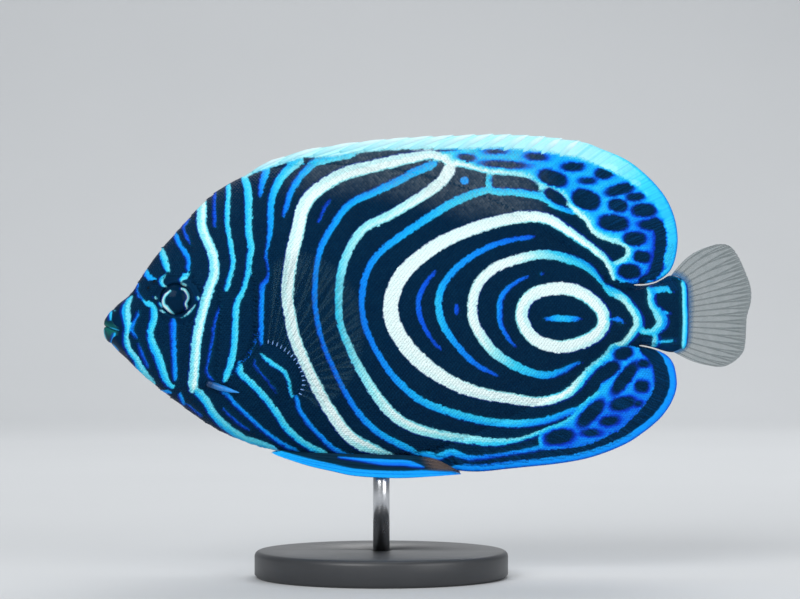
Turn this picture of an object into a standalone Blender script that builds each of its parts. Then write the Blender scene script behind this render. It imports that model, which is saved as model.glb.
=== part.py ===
"""Juvenile emperor angelfish as a still, life-size model on a plain display stand.

The fish faces -X, its left side is towards -Y and its back is up. Points are given in millimetres on the
fish itself: x from mid-length, y from its plane of symmetry and z from its long axis. They become metres
in the part's own frame, whose origin is the centre of the base's underside, when a mesh is made.
"""

import math

import bmesh
import bpy
import numpy as np
from mathutils import Vector

# Driving dimensions, in millimetres.
MM = 0.001
AXIS_HEIGHT = 40.0
GAP = 0.3

# The body without its fins, from snout to tail root, as pairs of x and size.
BACK = [(-48.2, -1.5), (-47.2, 0.1), (-46.2, 1.1), (-44.6, 2.4), (-42.9, 5.1), (-41.0, 7.8), (-38.6, 10.7),
        (-36.0, 13.6), (-33.0, 16.7), (-29.8, 19.0), (-27.0, 20.2), (-23.0, 21.2), (-17.0, 21.8),
        (-10.0, 21.6), (-3.0, 20.6), (5.0, 18.4), (12.0, 15.3), (19.0, 11.2), (25.0, 6.4), (28.0, 3.9),
        (30.0, 3.1), (32.0, 3.2), (34.0, 3.6), (36.4, 4.3), (38.6, 4.4)]
BELLY = [(-48.2, -4.0), (-47.2, -5.5), (-46.0, -6.5), (-43.5, -9.0), (-40.2, -11.8), (-36.5, -14.6),
         (-34.0, -16.4), (-31.0, -18.2), (-28.0, -19.5), (-25.0, -20.5), (-20.0, -21.5), (-14.0, -22.1),
         (-8.0, -22.1), (-3.0, -21.5), (3.0, -20.0), (10.0, -17.2), (17.0, -13.6), (23.0, -9.6),
         (28.0, -5.9), (30.0, -5.2), (33.0, -5.1), (36.4, -5.7), (38.6, -5.6)]
HALF_WIDTH = [(-48.2, 1.1), (-46.5, 2.1), (-44.0, 3.1), (-41.0, 4.2), (-37.0, 5.4), (-33.0, 6.3),
              (-28.0, 6.9), (-22.0, 7.0), (-14.0, 6.7), (-5.0, 6.0), (5.0, 5.0), (15.0, 3.8), (23.0, 2.8),
              (29.0, 2.1), (33.0, 1.7), (37.0, 1.15), (38.6, 0.95)]
KEEL_HALF = [(-48.2, 0.3), (-30.0, 0.4), (-24.0, 0.8), (15.0, 0.8), (30.0, 0.6), (38.6, 0.5)]
SHARPNESS = [(-48.2, 0.8), (-40.0, 0.9), (-28.0, 1.1), (-10.0, 1.35), (25.0, 1.4), (38.6, 1.0)]

# Where the body is parted: the edge of the gill opening against height (-1 belly, 1 back), and the tail.
GILL_EDGE = [(-1.0, -32.0), (-0.7, -31.2), (-0.475, -29.2), (-0.4, -28.2), (-0.3, -26.7), (-0.15, -25.9),
             (0.1, -25.7), (0.35, -26.6), (0.6, -28.0), (1.0, -29.5)]
PEDUNCLE_X = 28.6
TAIL_ROOT_X = 38.6
HEAD_GRID = (22, 25)
TRUNK_GRID = (25, 19)
PEDUNCLE_GRID = (6, 15)

# Relief of the head: how far the gill cover and cheek plate stand up, and the cheek plate's rear edge.
GILL_COVER_RISE = 0.4
GILL_COVER_FADE = 5.0
GILL_COVER_SPAN = (-11.5, 7.5)
CHEEK_RISE = 0.35
CHEEK_EDGE = [(-12.0, -34.2), (-10.5, -32.0), (-6.0, -31.4), (-1.0, -31.1), (4.0, -31.3), (7.0, -32.0)]
CHEEK_SPAN = (-11.8, 6.5)
EDGE_SOFTNESS = 0.5

# Fins: the free margin of each, from its first ray to its last, and the run of its base along the body.
SPINY_BASE = (-27.2, 9.5)
SPINY_MARGIN = [(-26.9, 20.9), (-25.5, 21.4), (-22.5, 22.6), (-19.5, 23.7), (-16.5, 24.3), (-10.0, 25.2),
                (-2.0, 25.9), (6.0, 26.2), (14.0, 26.2), (21.0, 25.5)]
SOFT_BASE = (9.9, 28.4)
SOFT_MARGIN = [(21.4, 25.45), (23.7, 25.1), (26.0, 24.2), (30.5, 22.1), (34.2, 18.8), (36.6, 15.0),
               (37.45, 11.0), (37.15, 8.0), (35.8, 5.5), (34.0, 4.3)]
ANAL_BASE = (-0.8, 28.4)
ANAL_MARGIN = [(0.6, -22.9), (3.0, -23.7), (5.0, -24.1), (8.0, -24.2), (12.0, -23.8), (18.0, -23.2),
               (24.0, -22.2), (28.5, -20.6), (32.5, -18.2), (35.2, -15.8), (36.9, -13.0), (37.3, -10.8),
               (36.4, -8.0), (35.0, -6.5), (33.5, -5.9)]
CAUDAL_BASE = [(37.2, 5.0), (38.2, 4.95), (38.9, 4.5), (38.9, -0.6), (38.9, -5.7), (38.2, -6.2), (37.2, -6.2)]
CAUDAL_MARGIN = [(37.6, 6.5), (39.0, 7.6), (41.5, 9.0), (43.7, 9.8), (45.2, 9.3), (47.3, 6.5), (48.5, 3.2),
                 (48.5, 0.2), (47.9, -3.4), (47.6, -6.0), (45.8, -7.9), (43.0, -8.2), (40.5, -7.7),
                 (37.6, -6.9)]
PECTORAL_BASE = [(-20.8, -4.4), (-19.4, -7.2), (-19.0, -9.8), (-19.9, -12.8)]
PECTORAL_MARGIN = [(-22.8, 7.2), (-20.0, 8.8), (-16.5, 8.4), (-12.5, 5.8), (-10.0, 1.5), (-9.2, -3.5),
                   (-10.3, -8.5), (-13.0, -12.4), (-16.5, -14.4)]
PELVIC_LOW = [(-22.6, -21.5), (-21.0, -22.1), (-18.3, -22.8), (-11.7, -24.6), (-4.8, -25.1), (1.5, -24.6),
              (4.7, -24.4)]
PELVIC_HIGH = [(-19.4, -21.8), (-18.5, -22.2), (-16.0, -22.5), (-10.0, -22.6), (-4.8, -22.6), (0.6, -22.9),
               (4.2, -23.9)]
FIN_LEAST_HALF = 0.26
FIN_ROOT_HALF = 0.8
RIDGE = 0.16
RIDGE_HALF = 0.2
ROWS = (0.0, 0.12, 0.32, 0.55, 0.8, 1.0)
STOUT = 1.9
PECTORAL_LIFT = 0.3
PELVIC_ROOT_Y = 1.7
PELVIC_TIP_Y = 3.2

# Eyes, and the fleshy rim round each.
EYE = (-37.8, 1.6)
EYE_RADIUS = 2.35
EYE_DEPTH = 1.5
EYE_PROUD = 0.75
EYE_LEAN = 0.2
RIM_RADIUS = 2.8
RIM_THICK = 0.34

# Mouth: each lip runs from corner to corner round the front of the snout.
LIP_FRONT = {"upper": (-47.75, -1.65), "lower": (-47.95, -3.75)}
LIP_CORNER_RISE = {"upper": -1.2, "lower": 0.45}
LIP_RADIUS = 0.85
LIP_RUN = 1.9
MOUTH_HALF = 2.35

# Nostrils: the two openings ahead of each eye, and the spine at the cheek's lower corner.
NOSTRILS = [(-41.6, 3.3), (-40.7, 4.2)]
NOSTRIL_RADIUS = 0.42
NOSTRIL_RIM = 0.17
CHEEK_SPINE = [(-32.6, -10.8, -0.2), (-31.0, -11.4, 0.5), (-30.2, -11.6, 0.85), (-29.2, -11.9, 0.8),
               (-28.0, -12.2, 0.7)]
CHEEK_SPINE_RADII = [0.6, 0.52, 0.45, 0.32, 0.1]

# Stand.
BASE_X = -7.0
BASE_RADIUS = 19.0
BASE_THICK = 4.0
BASE_BEVEL = 0.8
ROD_RADIUS = 1.25
ROD_SUNK = 2.4

# Colour, roughness and metallic of each kind of surface.
NAVY = ((0.004, 0.012, 0.04), 0.45, 0.0)
SPINY = ((0.35, 0.5, 0.55), 0.5, 0.0)
NET_BLUE = ((0.02, 0.2, 0.6), 0.45, 0.0)
CLEAR = ((0.4, 0.45, 0.42), 0.4, 0.0)
PALE_FIN = ((0.25, 0.35, 0.42), 0.4, 0.0)
EYE_DARK = ((0.01, 0.012, 0.02), 0.08, 0.0)
BASE_GREY = ((0.05, 0.05, 0.055), 0.4, 0.0)
ROD_STEEL = ((0.6, 0.6, 0.62), 0.25, 1.0)


def through(points, x):
    """Height at x of a smooth curve through the points that never swings past them."""
    xs, ys = np.array(points, float).T
    run = np.diff(xs)
    slope = np.diff(ys) / run
    same_way = slope[:-1] * slope[1:] > 0
    mean = 2 * slope[:-1] * slope[1:] / np.where(same_way, slope[:-1] + slope[1:], 1)
    tangent = np.concatenate([slope[:1], np.where(same_way, mean, 0), slope[-1:]])
    x = np.clip(np.asarray(x, float), xs[0], xs[-1])
    i = np.clip(np.searchsorted(xs, x, side="right") - 1, 0, len(run) - 1)
    t = (x - xs[i]) / run[i]
    start = ys[i] * (1 + 2 * t) + run[i] * tangent[i] * t
    end = ys[i + 1] * (3 - 2 * t) - run[i] * tangent[i + 1] * (1 - t)
    return start * (1 - t) ** 2 + end * t ** 2


def along(points, share):
    """Point (x, z) at each share of the length of a smooth curve through the points."""
    points = np.array(points, float)
    steps = np.hypot(*np.diff(points, axis=0).T)
    length = np.concatenate([[0], np.cumsum(steps)]) / steps.sum()
    return np.stack([through(np.stack([length, points[:, k]], 1), share) for k in (0, 1)], -1)


def half_width(x, z):
    """Half the body's width at a place on its side."""
    top, low = through(BACK, x), through(BELLY, x)
    height = (2 * z - top - low) / (top - low)
    keel = through(KEEL_HALF, x)
    bulge = np.sqrt(np.clip(1 - height ** 2, 0, 1)) ** through(SHARPNESS, x)
    return keel + (through(HALF_WIDTH, x) - keel) * bulge


def step(value, edge, softness):
    """0 well below the edge and 1 well above it."""
    t = np.clip((value - edge) / (2 * softness) + 0.5, 0, 1)
    return t * t * (3 - 2 * t)


def between(z, span):
    return step(z, span[0], 1.0) * (1 - step(z, span[1], 1.0))


def head_relief(x, z, height):
    """How far the gill cover and the cheek plate stand up from the smooth head."""
    behind = through(GILL_EDGE, height) - x
    cover = np.clip(1 - behind / GILL_COVER_FADE, 0, 1) * between(z, GILL_COVER_SPAN)
    ahead = through(CHEEK_EDGE, z) - x
    cheek = step(ahead, 0, EDGE_SOFTNESS) * np.clip(1 - ahead / GILL_COVER_FADE, 0, 1)
    return GILL_COVER_RISE * cover + CHEEK_RISE * cheek * between(z, CHEEK_SPAN)


def place(point):
    """A point of the fish, in metres in the part's frame."""
    return Vector(((point[0] - BASE_X) * MM, point[1] * MM, (point[2] + AXIS_HEIGHT) * MM))


def material(name, finish):
    colour, roughness, metallic = finish
    made = bpy.data.materials.new(name)
    made.use_nodes = True
    shader = made.node_tree.nodes["Principled BSDF"]
    shader.inputs["Base Color"].default_value = (*colour, 1)
    shader.inputs["Roughness"].default_value = roughness
    shader.inputs["Metallic"].default_value = metallic
    return made


def body_of(name, points, faces, finish=None):
    """One closed mesh object from points in millimetres, facing out."""
    mesh = bmesh.new()
    corners = [mesh.verts.new(place(point)) for point in points]
    for face in faces:
        mesh.faces.new([corners[k] for k in face])
    bmesh.ops.recalc_face_normals(mesh, faces=mesh.faces)
    data = bpy.data.meshes.new(name)
    mesh.to_mesh(data)
    mesh.free()
    made = bpy.data.objects.new(name, data)
    bpy.context.scene.collection.objects.link(made)
    if finish:
        data.materials.append(material(name, finish))
    return made


def slab(name, near, far, finish=None):
    """The solid between two faces of like grids, both split into triangles the same way."""
    rows, columns = near.shape[:2]
    index = np.arange(rows * columns).reshape(rows, columns)
    a, b, c, d = index[:-1, :-1], index[1:, :-1], index[1:, 1:], index[:-1, 1:]
    halves = np.concatenate([np.stack([a, b, c], -1).reshape(-1, 3), np.stack([a, c, d], -1).reshape(-1, 3)])
    other = index.size
    edge = np.concatenate([index[0, :-1], index[:-1, -1], index[-1, :0:-1], index[:0:-1, 0]])
    after = np.roll(edge, -1)
    rim = np.concatenate([np.stack([edge, after, after + other], -1),
                          np.stack([edge, after + other, edge + other], -1)])
    faces = np.concatenate([halves, halves[:, ::-1] + other, rim])
    points = np.concatenate([near.reshape(-1, 3), far.reshape(-1, 3)])
    return body_of(name, points, faces.tolist(), finish)


def mirrored(points):
    return points * np.array([1, -1, 1])


def body_length(name, front, rear, grid, finish, relief=None):
    """A length of the body between two partings, each a curve of x against height on the side."""
    lengthwise = np.linspace(0, 1, grid[0])[:, None]
    height = np.cos(np.linspace(0, math.pi, grid[1]))[None, :]
    x = (1 - lengthwise) * through(front, height) + lengthwise * through(rear, height)
    top, low = through(BACK, x), through(BELLY, x)
    z = (top + low) / 2 + (top - low) / 2 * height
    half = half_width(x, z) + (relief(x, z, height) if relief else 0)
    left = np.stack([x, -half, z], -1)
    return slab(name, left, mirrored(left), finish)


def level(x):
    """A straight parting across the body at x."""
    return [(-1.0, x), (1.0, x)]


def ray_columns(rays, span, spines=0):
    """Places across a fin: both flanks and the crest of each ray, with how far each stands up."""
    centre = (np.arange(rays) + 0.5) / rays
    stout = np.where(np.arange(rays) < spines, STOUT, 1.0)
    flank = np.minimum(RIDGE_HALF * stout / span, 0.35 / rays)
    places = np.stack([centre - flank, centre, centre + flank], -1).ravel()
    crest = np.kron(stout, [0.0, 1.0, 0.0])
    return np.concatenate([[0], places, [1]]), np.concatenate([[0], crest, [0]])


def fin_sheet(base, margin, rays, spines=0, dip=0.0):
    """Grid of (x, z) over a fin from base to margin, its share outwards, and the height of its rays."""
    span = np.hypot(*np.diff(margin, axis=0).T).sum()
    share, crest = ray_columns(rays, span, spines)
    notch = dip * ((crest == 0) & (share < spines / rays))
    out = np.array(ROWS)[:, None] * (1 - notch)[None, :]
    root, tip = along(base, share), along(margin, share)
    sheet = root[None] + (tip - root)[None] * out[..., None]
    return sheet, out, crest[None, :] * np.ones_like(out)


def middle_fin(name, base, margin, rays, finish, spines=0, dip=0.0):
    """A fin in the fish's middle plane, thick at the root, thin at the margin, with raised rays."""
    sheet, out, crest = fin_sheet(base, margin, rays, spines, dip)
    half = FIN_LEAST_HALF + (FIN_ROOT_HALF - FIN_LEAST_HALF) * (1 - out) ** 2
    half = half + RIDGE * crest * (1 - 0.7 * out)
    left = np.stack([sheet[..., 0], -half, sheet[..., 1]], -1)
    return slab(name, left, mirrored(left), finish)


def seat(edge, run, side, count=24):
    """The base line of a fin that follows the back or belly at the gap."""
    x = np.linspace(*run, count)
    return np.stack([x, through(edge, x) + side * GAP], -1)


def pectoral(name, side):
    sheet, out, crest = fin_sheet(PECTORAL_BASE, PECTORAL_MARGIN, 15)
    x, z = sheet[..., 0], sheet[..., 1]
    inner = half_width(x, z) + GAP + PECTORAL_LIFT * 12 * out ** 1.3
    thick = 2 * FIN_LEAST_HALF + 0.9 * (1 - out) ** 3
    near = np.stack([x, side * (inner + thick + RIDGE * crest * (1 - 0.6 * out)), z], -1)
    far = np.stack([x, side * (inner - RIDGE * crest * out * 0.4), z], -1)
    return slab(name, near, far, PALE_FIN)


def underside(x, y):
    """Height of the body's lower surface at a distance y from the middle plane."""
    top, low = through(BACK, x), through(BELLY, x)
    keel = through(KEEL_HALF, x)
    share = np.clip((np.abs(y) - keel) / (through(HALF_WIDTH, x) - keel), 0, 1)
    across = share ** (1 / through(SHARPNESS, x))
    return (top + low) / 2 - (top - low) / 2 * np.sqrt(1 - across ** 2)


def pelvic(name, side):
    """A folded pelvic fin: its rays run from the root under the breast back along the belly."""
    length = np.linspace(0, 1, 9)[:, None]
    share, crest = ray_columns(6, 3.0, spines=1)
    low, high = along(PELVIC_LOW, length[:, 0]), along(PELVIC_HIGH, length[:, 0])
    sheet = low[:, None] + (high - low)[:, None] * share[None, :, None]
    x, z = sheet[..., 0], sheet[..., 1]
    middle = PELVIC_ROOT_Y + (PELVIC_TIP_Y - PELVIC_ROOT_Y) * length ** 0.7 + 0 * x
    half = FIN_LEAST_HALF + 0.35 * (1 - length) ** 3 + RIDGE * crest[None, :] * (1 - 0.6 * length)
    ceiling = underside(x, middle + half) - GAP
    z = np.minimum(z, ceiling)
    near = np.stack([x, side * (middle + half), z], -1)
    far = np.stack([x, side * (middle - half), z], -1)
    return slab(name, near, far, PALE_FIN)


def ball(name, centre, radii, rings, sides, finish=None, lean=0.0):
    """An ellipsoid whose poles lie along y, sheared so that it leans that much in y for each x."""
    turn = np.linspace(0, 2 * math.pi, sides, endpoint=False)
    points = [(centre[0], centre[1] - radii[1], centre[2])]
    for tilt in np.linspace(0, math.pi, rings + 1)[1:-1]:
        y = centre[1] - radii[1] * math.cos(tilt)
        reach = math.sin(tilt)
        points += [(centre[0] + radii[0] * reach * math.cos(a), y, centre[2] + radii[2] * reach * math.sin(a))
                   for a in turn]
    points.append((centre[0], centre[1] + radii[1], centre[2]))
    points = [(x, y + lean * (x - centre[0]), z) for x, y, z in points]
    faces = ring_faces(rings - 1, sides, first=1)
    last = len(points) - 1
    for k in range(sides):
        nxt = (k + 1) % sides
        faces.append((0, 1 + nxt, 1 + k))
        faces.append((last, last - sides + k, last - sides + nxt))
    return body_of(name, points, faces, finish)


def ring_faces(rings, sides, first=0, closed=False):
    """Triangles that join rings of points one after another, back to the first where closed."""
    faces = []
    for i in range(rings if closed else rings - 1):
        for k in range(sides):
            a = first + i * sides + k
            b = first + i * sides + (k + 1) % sides
            c = first + (i + 1) % rings * sides + (k + 1) % sides
            d = first + (i + 1) % rings * sides + k
            faces += [(a, b, c), (a, c, d)]
    return faces


def tube(name, path, radii, sides, closed=False, finish=None):
    """A round bar along a path, with flat ends or joined into a ring."""
    path = np.array(path, float)
    ahead = np.roll(path, -1, 0) - np.roll(path, 1, 0)
    if not closed:
        ahead[0], ahead[-1] = path[1] - path[0], path[-1] - path[-2]
    points = []
    across = Vector((0, 1, 0)) if abs(Vector(ahead[0]).normalized().y) < 0.9 else Vector((0, 0, 1))
    for centre, forward, radius in zip(path, ahead, radii):
        forward = Vector(forward).normalized()
        up = forward.cross(across).normalized()
        across = up.cross(forward).normalized()
        for a in np.linspace(0, 2 * math.pi, sides, endpoint=False):
            points.append(Vector(centre) + (across * math.cos(a) + up * math.sin(a)) * float(radius))
    faces = ring_faces(len(path), sides, closed=closed)
    if not closed:
        faces += [tuple(range(sides)), tuple(range(len(points) - sides, len(points)))[::-1]]
    return body_of(name, points, faces, finish)


def eye_centre(side):
    reach = float(half_width(*EYE))
    return (EYE[0], side * (reach + EYE_PROUD - EYE_DEPTH), EYE[1])


def orbital_rim(side):
    """The fleshy ring round an eye, lying on the head."""
    turn = np.linspace(0, 2 * math.pi, 20, endpoint=False)
    x, z = EYE[0] + RIM_RADIUS * np.cos(turn), EYE[1] + RIM_RADIUS * np.sin(turn)
    path = np.stack([x, side * (half_width(x, z) - 0.05), z], -1)
    return tube("rim", path, [RIM_THICK] * 20, 6, closed=True)


def lip(part):
    across = np.linspace(-1, 1, 11)
    front_x, front_z = LIP_FRONT[part]
    path = np.stack([front_x + LIP_RUN * across ** 2, MOUTH_HALF * np.sin(across * math.pi / 2),
                     front_z + LIP_CORNER_RISE[part] * across ** 2], -1)
    return tube("lip", path, LIP_RADIUS * (1 - 0.45 * across ** 2), 8)


def nostril(side, x, z, pit):
    """The raised ring of one nostril, or the pit inside it."""
    y = side * float(half_width(x, z))
    if pit:
        reach = NOSTRIL_RADIUS - NOSTRIL_RIM / 2
        return ball("pit", (x, y, z), (reach, 2 * reach, reach), 4, 6)
    turn = np.linspace(0, 2 * math.pi, 8, endpoint=False)
    ring = [x + NOSTRIL_RADIUS * np.cos(turn), y + 0 * turn, z + NOSTRIL_RADIUS * np.sin(turn)]
    return tube("ring", np.stack(ring, -1), [NOSTRIL_RIM * 1.4] * 8, 5, closed=True)


def cheek_spine(side):
    path = [(x, side * (float(half_width(x, z)) + lift), z) for x, z, lift in CHEEK_SPINE]
    return tube("spine", path, CHEEK_SPINE_RADII, 6)


def combine(body, operation, pieces):
    """Join pieces to a body or cut them out of it, and keep the largest closed surface that results."""
    group = bpy.data.collections.new(body.name + " pieces")
    bpy.context.scene.collection.children.link(group)
    for piece in pieces:
        bpy.context.scene.collection.objects.unlink(piece)
        group.objects.link(piece)
        piece.hide_render = True
        piece.display_type = "WIRE"
    change = body.modifiers.new("Shape", "BOOLEAN")
    change.operation = operation
    change.solver = "EXACT"
    change.operand_type = "COLLECTION"
    change.collection = group
    with bpy.context.temp_override(object=body, active_object=body, selected_objects=[body]):
        bpy.ops.object.modifier_apply(modifier=change.name)
    for piece in list(group.objects):
        bpy.data.objects.remove(piece)
    bpy.data.collections.remove(group)
    keep_largest(body)
    return body


def keep_largest(body):
    """Drop every closed surface of a mesh but the one with the most volume."""
    mesh = bmesh.new()
    mesh.from_mesh(body.data)
    bmesh.ops.triangulate(mesh, faces=mesh.faces)
    left = set(mesh.faces)
    shells = []
    while left:
        shell, reached = [], [left.pop()]
        while reached:
            face = reached.pop()
            shell.append(face)
            near = {other for edge in face.edges for other in edge.link_faces} & left
            left -= near
            reached += near
        shells.append(shell)
    shells.sort(key=lambda shell: shell_volume(shell))
    spare = [face for shell in shells[:-1] for face in shell]
    bmesh.ops.delete(mesh, geom=spare, context="FACES")
    mesh.to_mesh(body.data)
    mesh.free()


def shell_volume(shell):
    total = 0.0
    for face in shell:
        a, b, c = (vert.co for vert in face.verts)
        total += a.dot(b.cross(c)) / 6
    return total


def disc(name, centre, radius, low, high, bevel, sides, finish=None):
    """A round plate or bar standing on end, its edges bevelled."""
    levels = [(low, radius - bevel), (low + bevel, radius), (high - bevel, radius), (high, radius - bevel)]
    if not bevel:
        levels = [(low, radius), (high, radius)]
    turn = np.linspace(0, 2 * math.pi, sides, endpoint=False)
    points = [(centre + r * math.cos(a), r * math.sin(a), z) for z, r in levels for a in turn]
    faces = ring_faces(len(levels), sides)
    faces += [tuple(range(sides)), tuple(range(len(points) - sides, len(points)))[::-1]]
    return body_of(name, points, faces, finish)


def clear_scene():
    for item in list(bpy.data.objects):
        bpy.data.objects.remove(item)


def build_body():
    behind_gill = [(height, x + GAP) for height, x in GILL_EDGE]
    head = body_length("head", level(BACK[0][0]), GILL_EDGE, HEAD_GRID, NAVY, head_relief)
    raised = [lip("upper"), lip("lower")]
    cut = []
    for side, name in ((-1, "left"), (1, "right")):
        centre = eye_centre(side)
        lean = side * EYE_LEAN
        ball("eye_" + name, centre, (EYE_RADIUS, EYE_DEPTH, EYE_RADIUS), 8, 20, EYE_DARK, lean)
        room = (EYE_RADIUS + GAP, EYE_DEPTH + GAP, EYE_RADIUS + GAP)
        raised += [orbital_rim(side), cheek_spine(side)]
        raised += [nostril(side, x, z, False) for x, z in NOSTRILS]
        cut += [ball("socket " + name, centre, room, 7, 20, None, lean)]
        cut += [nostril(side, x, z, True) for x, z in NOSTRILS]
    combine(head, "UNION", raised)
    combine(head, "DIFFERENCE", cut)
    body_length("trunk", behind_gill, level(PEDUNCLE_X), TRUNK_GRID, NAVY)
    body_length("tail_peduncle", level(PEDUNCLE_X + GAP), level(TAIL_ROOT_X), PEDUNCLE_GRID, NAVY)


def build_fins():
    middle_fin("dorsal_fin_spiny", seat(BACK, SPINY_BASE, 1), SPINY_MARGIN, 14, SPINY, spines=14, dip=0.06)
    middle_fin("dorsal_fin_soft", seat(BACK, SOFT_BASE, 1), SOFT_MARGIN, 19, NET_BLUE)
    middle_fin("anal_fin", seat(BELLY, ANAL_BASE, -1), ANAL_MARGIN, 22, NET_BLUE, spines=3, dip=0.05)
    middle_fin("caudal_fin", CAUDAL_BASE, CAUDAL_MARGIN, 17, CLEAR)
    for side, name in ((-1, "left"), (1, "right")):
        pectoral("pectoral_fin_" + name, side)
        pelvic("pelvic_fin_" + name, side)


def build_stand():
    floor = -AXIS_HEIGHT
    base = disc("stand_base", BASE_X, BASE_RADIUS, floor, floor + BASE_THICK, BASE_BEVEL, 40, BASE_GREY)
    foot = floor + BASE_THICK - ROD_SUNK
    hole = disc("hole", BASE_X, ROD_RADIUS + GAP, foot - GAP, floor + BASE_THICK + 1, 0, 20)
    combine(base, "DIFFERENCE", [hole])
    top = float(through(BELLY, BASE_X)) - GAP
    disc("stand_rod", BASE_X, ROD_RADIUS, foot, top, 0, 20, ROD_STEEL)


clear_scene()
build_body()
build_fins()
build_stand()
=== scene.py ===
"""Looks of a juvenile emperor angelfish on its display stand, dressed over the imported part."""

import math

import bmesh
import bpy
import numpy as np
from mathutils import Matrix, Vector
from mathutils.geometry import delaunay_2d_cdt
from mathutils.kdtree import KDTree


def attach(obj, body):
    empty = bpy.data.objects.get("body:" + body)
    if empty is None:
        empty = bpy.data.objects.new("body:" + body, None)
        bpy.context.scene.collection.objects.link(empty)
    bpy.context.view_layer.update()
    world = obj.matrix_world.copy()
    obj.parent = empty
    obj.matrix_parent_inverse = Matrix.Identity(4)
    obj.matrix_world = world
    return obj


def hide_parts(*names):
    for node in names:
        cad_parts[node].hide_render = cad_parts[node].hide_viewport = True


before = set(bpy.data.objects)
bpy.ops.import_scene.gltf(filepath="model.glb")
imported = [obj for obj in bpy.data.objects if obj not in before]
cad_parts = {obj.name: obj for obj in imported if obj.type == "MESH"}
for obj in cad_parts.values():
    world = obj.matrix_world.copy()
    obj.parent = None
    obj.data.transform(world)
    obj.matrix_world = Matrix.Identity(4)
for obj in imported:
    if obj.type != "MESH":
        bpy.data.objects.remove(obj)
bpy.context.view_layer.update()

# Skin
# One skin covers head, trunk, tail root and the scaly dorsal and anal fins, so no seam shows.
# It is a fine triangle net over the fish's side view, lifted to the body's half width on each side.

MM = 0.001
AXIS_HEIGHT = 40.0
BASE_X = -7.0
BACK = [(-48.2, -1.5), (-47.2, 0.1), (-46.2, 1.1), (-44.6, 2.4), (-42.9, 5.1), (-41.0, 7.8), (-38.6, 10.7),
        (-36.0, 13.6), (-33.0, 16.7), (-29.8, 19.0), (-27.0, 20.2), (-23.0, 21.2), (-17.0, 21.8),
        (-10.0, 21.6), (-3.0, 20.6), (5.0, 18.4), (12.0, 15.3), (19.0, 11.2), (25.0, 6.4), (28.0, 3.9),
        (30.0, 3.1), (32.0, 3.2), (34.0, 3.6), (36.4, 4.3), (38.6, 4.4)]
BELLY = [(-48.2, -4.0), (-47.2, -5.5), (-46.0, -6.5), (-43.5, -9.0), (-40.2, -11.8), (-36.5, -14.6),
         (-34.0, -16.4), (-31.0, -18.2), (-28.0, -19.5), (-25.0, -20.5), (-20.0, -21.5), (-14.0, -22.1),
         (-8.0, -22.1), (-3.0, -21.5), (3.0, -20.0), (10.0, -17.2), (17.0, -13.6), (23.0, -9.6),
         (28.0, -5.9), (30.0, -5.2), (33.0, -5.1), (36.4, -5.7), (38.6, -5.6)]
HALF_WIDTH = [(-48.2, 1.1), (-46.5, 2.1), (-44.0, 3.1), (-41.0, 4.2), (-37.0, 5.4), (-33.0, 6.3),
              (-28.0, 6.9), (-22.0, 7.0), (-14.0, 6.7), (-5.0, 6.0), (5.0, 5.0), (15.0, 3.8), (23.0, 2.8),
              (29.0, 2.1), (33.0, 1.7), (37.0, 1.15), (39.2, 0.9)]
KEEL_HALF = [(-48.2, 0.3), (-30.0, 0.4), (-24.0, 0.8), (15.0, 0.8), (30.0, 0.6), (38.6, 0.5)]
SHARPNESS = [(-48.2, 0.8), (-40.0, 0.9), (-28.0, 1.15), (-14.0, 1.5), (0.0, 1.85), (20.0, 1.9), (38.6, 1.0)]
DORSAL_MARGIN = [(-27.6, 20.1), (-25.5, 21.3), (-22.5, 22.6), (-19.5, 23.7), (-16.5, 24.3), (-13, 24.8),
                 (-10, 25.2), (-6, 25.6), (-2, 25.9), (2, 26.05), (6, 26.2), (10, 26.3), (14, 26.2),
                 (18, 25.9), (21, 25.5), (23.7, 25.1), (26, 24.2), (28.5, 23.2), (30.5, 22.1), (32.5, 20.5),
                 (34.2, 18.8), (35.6, 17), (36.6, 15), (37.2, 13), (37.45, 11), (37.4, 9.5), (37.15, 8),
                 (36.75, 6.7), (36.15, 5.7), (35.2, 4.88), (34.1, 4.3), (32.7, 3.96)]
TAIL_ROOT = [(31.4, 3.9), (30.8, 3.8), (31.4, 3.7), (32.7, 3.76), (34.1, 4.1), (35.2, 4.66), (36.2, 5.2),
             (37.1, 5.1), (38.0, 4.7), (38.7, 4.2), (39.0, 3.2), (39.1, 1), (39.1, -2.5), (39.0, -4.4),
             (38.7, -5.6), (38.0, -6.1), (37.0, -6.3), (36, -6.25), (34.8, -5.93), (33.6, -5.55),
             (32.2, -5.27), (31.6, -5.32), (32.2, -5.45)]
ANAL_MARGIN = [(33.5, -5.74), (35, -6.27), (36.1, -7.0), (36.8, -8.0), (37.1, -9.0), (37.3, -10.3),
               (37.3, -11.5), (36.9, -13), (36.2, -14.4), (35.2, -15.8), (34, -17), (32.5, -18.2),
               (30.5, -19.6), (28.5, -20.6), (26.5, -21.4), (24, -22.2), (21, -22.8), (18, -23.2),
               (15, -23.5), (12, -23.8), (8, -24.2), (5, -24.1), (3, -23.6), (0.8, -22.6), (-1, -22.0)]
GILL_EDGE = [(-19.0, -31.4), (-14.0, -31.0), (-9.5, -29.2), (-8.0, -28.2), (-6.0, -26.7), (-3.0, -25.9),
             (2.0, -25.7), (7.0, -26.6), (12.0, -28.0), (19.0, -29.5)]
CHEEK_EDGE = [(-12.0, -34.2), (-10.5, -32.0), (-6.0, -31.4), (-1.0, -31.1), (4.0, -31.3), (7.0, -32.0)]
SPINE_TIPS = [-21.5, -16.0, -10.5, -6.5, -2.9, 0.5, 3.8, 7.0, 9.7, 12.4, 15.1, 17.6, 20.1, 22.7]
EYE = (-37.35, 1.6)
EYE_RIM_FAR, EYE_RIM_WIDE, EYE_RIM_PROUD = 2.72, 0.4, 0.34
SOCKET_RADIUS, SOCKET_DEEP = 2.45, 1.3
GILL_PROUD, CHEEK_PROUD, PLATE_LENGTH = 0.38, 0.32, 5.0
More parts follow.
